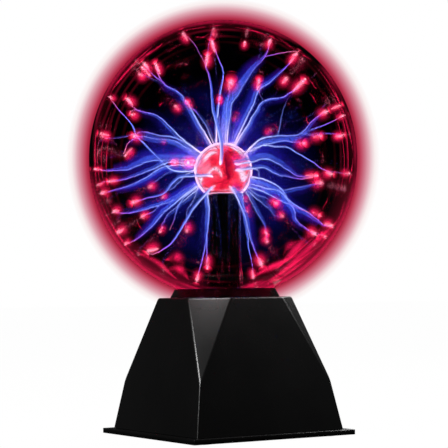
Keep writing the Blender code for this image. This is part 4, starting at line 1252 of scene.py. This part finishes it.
class PLASMA_OT_film(bpy.types.Operator):
    """Model the thin film of glow on the inside of the glass, with faint arcs of painted reflection where the glass
    repeats that glow
    """

    bl_idname = "plasma.film"
    bl_label = "Glow Film"

    def execute(self, context):
        light = context.scene.plasma_discharge.brightness
        rings = [ring for ring in globe_rings(0.9 * MM, 60) if ring[1] > BASE_TOP + 5 * MM]
        film = turned("glow_film", rings + [(0.0, rings[-1][1])], 96)
        smooth(film, 50.0)
        made, tree, shader = material("film light", (0, 0, 0), 1.0, Specular_IOR_Level=0.0)
        made.cycles.emission_sampling = "NONE"
        shader.inputs["Emission Color"].default_value = (0.8, 0.012, 0.08, 1.0)
        shader.inputs["Emission Strength"].default_value = light * 0.42
        where = object_place(tree)
        height = node(tree, "ShaderNodeSeparateXYZ", {0: where}).outputs["Z"]
        low = node(tree, "ShaderNodeMapRange", {"Value": height, "From Min": 0.2, "From Max": 0.12}).outputs[0]
        aside = node(tree, "ShaderNodeVectorMath", {0: where, 1: tuple(VIEW_RIGHT)}, operation="DOT_PRODUCT")
        off_stem = node(
            tree, "ShaderNodeMapRange",
            {"Value": maths(tree, "ABSOLUTE", aside.outputs["Value"]), "From Min": 0.01, "From Max": 0.026},
        ).outputs[0]
        rim = edge_fade(tree, (0.2, 0.0), (0.24, 0.08), (0.262, 0.18), (0.274, 0.6), (0.281, 1.0))
        glow = maths(tree, "MULTIPLY", maths(tree, "MULTIPLY", rim, low), off_stem)
        # Painted reflections: faint emissive arcs just inside the rim, as the glass wall repeats the glow, then a
        # patchy band of glow at the rim itself
        arcs = edge_fade(
            tree, (0.15, 0.0), (0.154, 0.02), (0.158, 0.0), (0.181, 0.0), (0.186, 0.05), (0.191, 0.0), (0.204, 0.0),
            (0.209, 0.07), (0.214, 0.0), (0.23, 0.0), (0.237, 0.1), (0.243, 0.01), (0.262, 0.02), (0.285, 0.35),
        )
        patches = levels(tree, texture(tree, where, 16.0, detail=2.0), (0.48, 0.0), (0.62, 1.0))
        arcs = maths(tree, "MULTIPLY", arcs, patches)
        tree.links.new(maths(tree, "MAXIMUM", glow, arcs), shader.inputs["Alpha"])
        finish_piece(film, made)
        return {"FINISHED"}


# ------------------------------------------------------------------------------------------ inner works


class PLASMA_OT_inner_works(bpy.types.Operator):
    """Give the driver, its transformer and the electrode's wiring their finishes"""

    bl_idname = "plasma.inner_works"
    bl_label = "Inner Works"

    def execute(self, context):
        steel = plated_steel()
        screws = [f"{kind}_screw_{number}" for kind in ("board", "case") for number in range(1, 5)]
        repaint(steel, "transistor_screw", "switch_body", "socket_pin", *screws)
        repaint(brushed("turned brass", (0.78, 0.58, 0.26)), "electrode_rod", "contact_clip")
        repaint(brushed("drawn aluminium", (0.75, 0.76, 0.78), 0.35), "heatsink", "microphone")
        repaint(black_rubber(), "seat_gasket", "neck_bushing")
        repaint(grained("moulded epoxy", (0.02, 0.02, 0.021), 0.5), "power_transistor", "timer_chip")
        repaint(grained("potting", (0.02, 0.02, 0.02), 0.3, pitch=400.0), "secondary_coil")
        repaint(grained("ferrite", (0.05, 0.05, 0.055), 0.6, pitch=2600.0, bump=0.2), "core_lower", "core_upper")
        repaint(grained("solder mask", (0.02, 0.16, 0.06), 0.35, pitch=500.0, Coat_Weight=0.4), "circuit_board")
        sleeve = grained("shrunk sleeve", (0.015, 0.025, 0.1), 0.3, pitch=300.0)
        repaint(sleeve, "capacitor_large", "capacitor_small")
        repaint(grained("yellow box", (0.7, 0.45, 0.04), 0.4, pitch=700.0), "film_capacitor")
        repaint(grained("silicone sleeve", (0.45, 0.015, 0.015), 0.5, pitch=500.0), "high_voltage_lead")
        repaint(self.windings(), "primary_coil", "choke")
        glass, _, _ = material("tip glass", (0.85, 0.83, 0.85), 0.0, IOR=1.45, Transmission_Weight=1.0)
        repaint(glass, "exhaust_tip")
        return {"FINISHED"}

    @staticmethod
    def windings():
        """Enamelled wire, wound turn on turn."""
        made, tree, shader = material("enamelled wire", (0.7, 0.28, 0.1), 0.3, Metallic=1.0, Coat_Weight=0.6)
        bands = node(
            tree, "ShaderNodeTexWave", {"Vector": object_place(tree), "Scale": 650.0, "Distortion": 0.4},
            bands_direction="Z",
        ).outputs["Fac"]
        relief = node(tree, "ShaderNodeBump", {"Height": bands, "Strength": 0.8, "Distance": 0.2 * MM})
        tree.links.new(relief.outputs["Normal"], shader.inputs["Normal"])
        stops = [(0.0, (0.35, 0.12, 0.04)), (1.0, (0.75, 0.32, 0.12))]
        tree.links.new(ramp(tree, bands, stops), shader.inputs["Base Color"])
        return made


# ------------------------------------------------------------------------------------------ the stage


class PLASMA_OT_stage(bpy.types.Operator):
    """Set up the pale floor, the soft lights, the painted red glow around the globe, and the camera"""

    bl_idname = "plasma.stage"
    bl_label = "Stage"

    def execute(self, context):
        settings = context.scene.plasma_stage
        scene = context.scene
        scene.view_settings.view_transform = "Standard"
        scene.cycles.transparent_max_bounces = 48
        self.world(scene)
        floor = self.floor()
        self.halo()
        self.lights(settings, floor)
        self.camera(scene, settings)
        return {"FINISHED"}

    @staticmethod
    def world(scene):
        """White behind the ball, and dim in what the ball reflects, as in a dark studio with a lit wall."""
        world = bpy.data.worlds.new("studio")
        scene.world = world
        world.use_nodes = True
        tree = world.node_tree
        tree.nodes.clear()
        dim = node(tree, "ShaderNodeBackground", {"Color": (1, 1, 1, 1), "Strength": 0.03}).outputs[0]
        bright = node(tree, "ShaderNodeBackground", {"Color": (1, 1, 1, 1), "Strength": 1.0}).outputs[0]
        dark = node(tree, "ShaderNodeBackground", {"Color": (1, 1, 1, 1), "Strength": 0.002}).outputs[0]
        path = node(tree, "ShaderNodeLightPath").outputs
        soft_or_dark = node(tree, "ShaderNodeMixShader", {0: path["Is Singular Ray"], 1: dim, 2: dark}).outputs[0]
        mix = node(tree, "ShaderNodeMixShader", {0: path["Is Camera Ray"], 1: soft_or_dark, 2: bright}).outputs[0]
        node(tree, "ShaderNodeOutputWorld", {"Surface": mix})

    @staticmethod
    def floor():
        deselect()
        bpy.ops.mesh.primitive_plane_add(size=30.0, location=(0, 0, 0))
        floor = added("floor")
        made = bpy.data.materials.new("pale floor")
        made.use_nodes = True
        tree = made.node_tree
        shader = tree.nodes["Principled BSDF"]
        shader.inputs["Base Color"].default_value = (0.85, 0.85, 0.85, 1)
        shader.inputs["Roughness"].default_value = 0.7
        white = node(tree, "ShaderNodeEmission", {"Color": (1, 1, 1, 1), "Strength": 1.0}).outputs[0]
        seen = node(tree, "ShaderNodeLightPath").outputs["Is Camera Ray"]
        shown = node(tree, "ShaderNodeMixShader", {0: 0.99, 1: shader.outputs[0], 2: white}).outputs[0]
        dark = node(tree, "ShaderNodeEmission", {"Color": (1, 1, 1, 1), "Strength": 0.01}).outputs[0]
        mix = node(tree, "ShaderNodeMixShader", {0: seen, 1: dark, 2: shown}).outputs[0]
        tree.links.new(mix, tree.nodes["Material Output"].inputs["Surface"])
        floor.data.materials.append(made)
        return floor

    @staticmethod
    def halo():
        """A painted red glow around the glass: a shell, seen only from the camera, that holds back green and blue, most
        of all near the globe.
        """
        deselect()
        bpy.ops.mesh.primitive_uv_sphere_add(
            segments=128, ring_count=96, radius=GLOBE_RADIUS * HALO_SHARE, location=GLOBE_CENTRE,
            scale=(1, 1, GLOBE_STRETCH * 0.99),
        )
        halo = place(added("red_air"))
        smooth(halo, 60.0)
        made = bpy.data.materials.new("painted red glow")
        made.use_nodes = True
        tree = made.node_tree
        tree.nodes.clear()
        # Painted red glow: the tint follows how edge-on the shell is seen, and only camera rays through its far side
        # take it
        facing = node(tree, "ShaderNodeLayerWeight", {"Blend": 0.5}).outputs["Facing"]
        stops = []
        for share, colour in HALO_COLOURS:
            seen = 1 - math.sqrt(max(0.0, 1 - (share / HALO_SHARE) ** 2))
            stops.append((seen, colour))
        tint = ramp(tree, facing, stops)
        camera = node(tree, "ShaderNodeLightPath").outputs["Is Camera Ray"]
        behind = node(tree, "ShaderNodeNewGeometry").outputs["Backfacing"]
        shown = maths(tree, "MULTIPLY", camera, behind)
        mixed = node(tree, "ShaderNodeMix", {0: shown, 6: (1, 1, 1, 1), 7: tint}, data_type="RGBA").outputs[2]
        clear = node(tree, "ShaderNodeBsdfTransparent", {"Color": mixed}).outputs[0]
        node(tree, "ShaderNodeOutputMaterial", {"Surface": clear})
        halo.data.materials.append(made)

    @staticmethod
    def soft_light(name, angle, height, distance, size, power, aim=0.08):
        """A softbox at an angle from the camera's side, counted to the right, and a height above the level."""
        around, above = math.radians(angle), math.radians(height)
        level = VIEW_BACK * math.cos(around) + VIEW_RIGHT * math.sin(around)
        target = UP * aim
        where = target + (level * math.cos(above) + UP * math.sin(above)) * distance
        deselect()
        bpy.ops.object.light_add(type="AREA", location=where)
        light = added(name)
        light.rotation_euler = (where - target).to_track_quat("Z", "Y").to_euler()
        light.data.shape = "RECTANGLE"
        light.data.size, light.data.size_y = size
        light.data.energy = power
        return light

    def lights(self, settings, floor):
        """The softboxes light the base and the floor, and stay out of the globe's reflections."""
        lit = bpy.data.collections.new("lit by softboxes")
        for name in ("housing_shell", "foot_plate", "switch_knob", "power_inlet"):
            lit.objects.link(bpy.data.objects[name])
        lit.objects.link(floor)
        power = settings.key_power
        softboxes = [
            self.soft_light("key", -50, 70, 0.65, (0.11, 0.11), power * 0.58),
            self.soft_light("left edge", -58, 30, 1.2, (0.12, 0.4), power * 1.9),
            self.soft_light("right edge", 108, 42, 1.2, (0.15, 0.5), power * 2.4),
            self.soft_light("fill", 63, 44, 1.2, (0.4, 0.3), power * 0.1),
            self.soft_light("back", 165, 30, 1.4, (0.8, 0.5), power * 1.2),
        ]
        for light in softboxes:
            light.light_linking.receiver_collection = lit
            light.light_linking.blocker_collection = lit

    @staticmethod
    def camera(scene, settings):
        pitch, roll = math.radians(2.515), math.radians(-0.779)
        bpy.ops.object.camera_add()
        camera = added("camera")
        where = VIEW_BACK * settings.distance + UP * settings.height
        turn = (
            Matrix.Rotation(-FACING, 4, "Z") @ Matrix.Rotation(math.pi / 2 + pitch, 4, "X")
            @ Matrix.Rotation(roll, 4, "Z")
        )
        camera.matrix_world = Matrix.Translation(where) @ turn
        camera.data.lens = settings.lens
        camera.data.clip_start = 0.01
        camera.data.clip_end = 100.0
        scene.camera = camera


# ------------------------------------------------------------------------------------------ add-on

STEPS = (
    PLASMA_OT_housing, PLASMA_OT_bottom_plate, PLASMA_OT_feet, PLASMA_OT_collar, PLASMA_OT_rear_panel,
    PLASMA_OT_globe, PLASMA_OT_electrode, PLASMA_OT_streamers, PLASMA_OT_tips, PLASMA_OT_film,
    PLASMA_OT_inner_works, PLASMA_OT_stage,
)
SETTINGS = {
    "plasma_globe": GlobeSettings,
    "plasma_discharge": DischargeSettings,
    "plasma_base": BaseSettings,
    "plasma_stage": StageSettings,
}


class PLASMA_PT_panel(bpy.types.Panel):
    """Lists the pieces and their settings."""

    bl_idname = "PLASMA_PT_panel"
    bl_label = "Plasma Ball"
    bl_space_type = "VIEW_3D"
    bl_region_type = "UI"
    bl_category = "Plasma Ball"

    def draw(self, context):
        for name, kind in SETTINGS.items():
            box = self.layout.box()
            box.label(text=kind.__doc__)
            for key in kind.__annotations__:
                box.prop(getattr(context.scene, name), key)
        for step in STEPS:
            self.layout.operator(step.bl_idname)


def register():
    for kind in (*SETTINGS.values(), *STEPS, PLASMA_PT_panel):
        bpy.utils.register_class(kind)
    for name, kind in SETTINGS.items():
        setattr(bpy.types.Scene, name, PointerProperty(type=kind))


def unregister():
    for name in SETTINGS:
        delattr(bpy.types.Scene, name)
    for kind in reversed((*SETTINGS.values(), *STEPS, PLASMA_PT_panel)):
        bpy.utils.unregister_class(kind)


def main():
    register()
    build_groups()
    deselect()
    for step in STEPS:
        group, call = step.bl_idname.split(".")
        getattr(getattr(bpy.ops, group), call)()


if __name__ == "__main__":
    main()
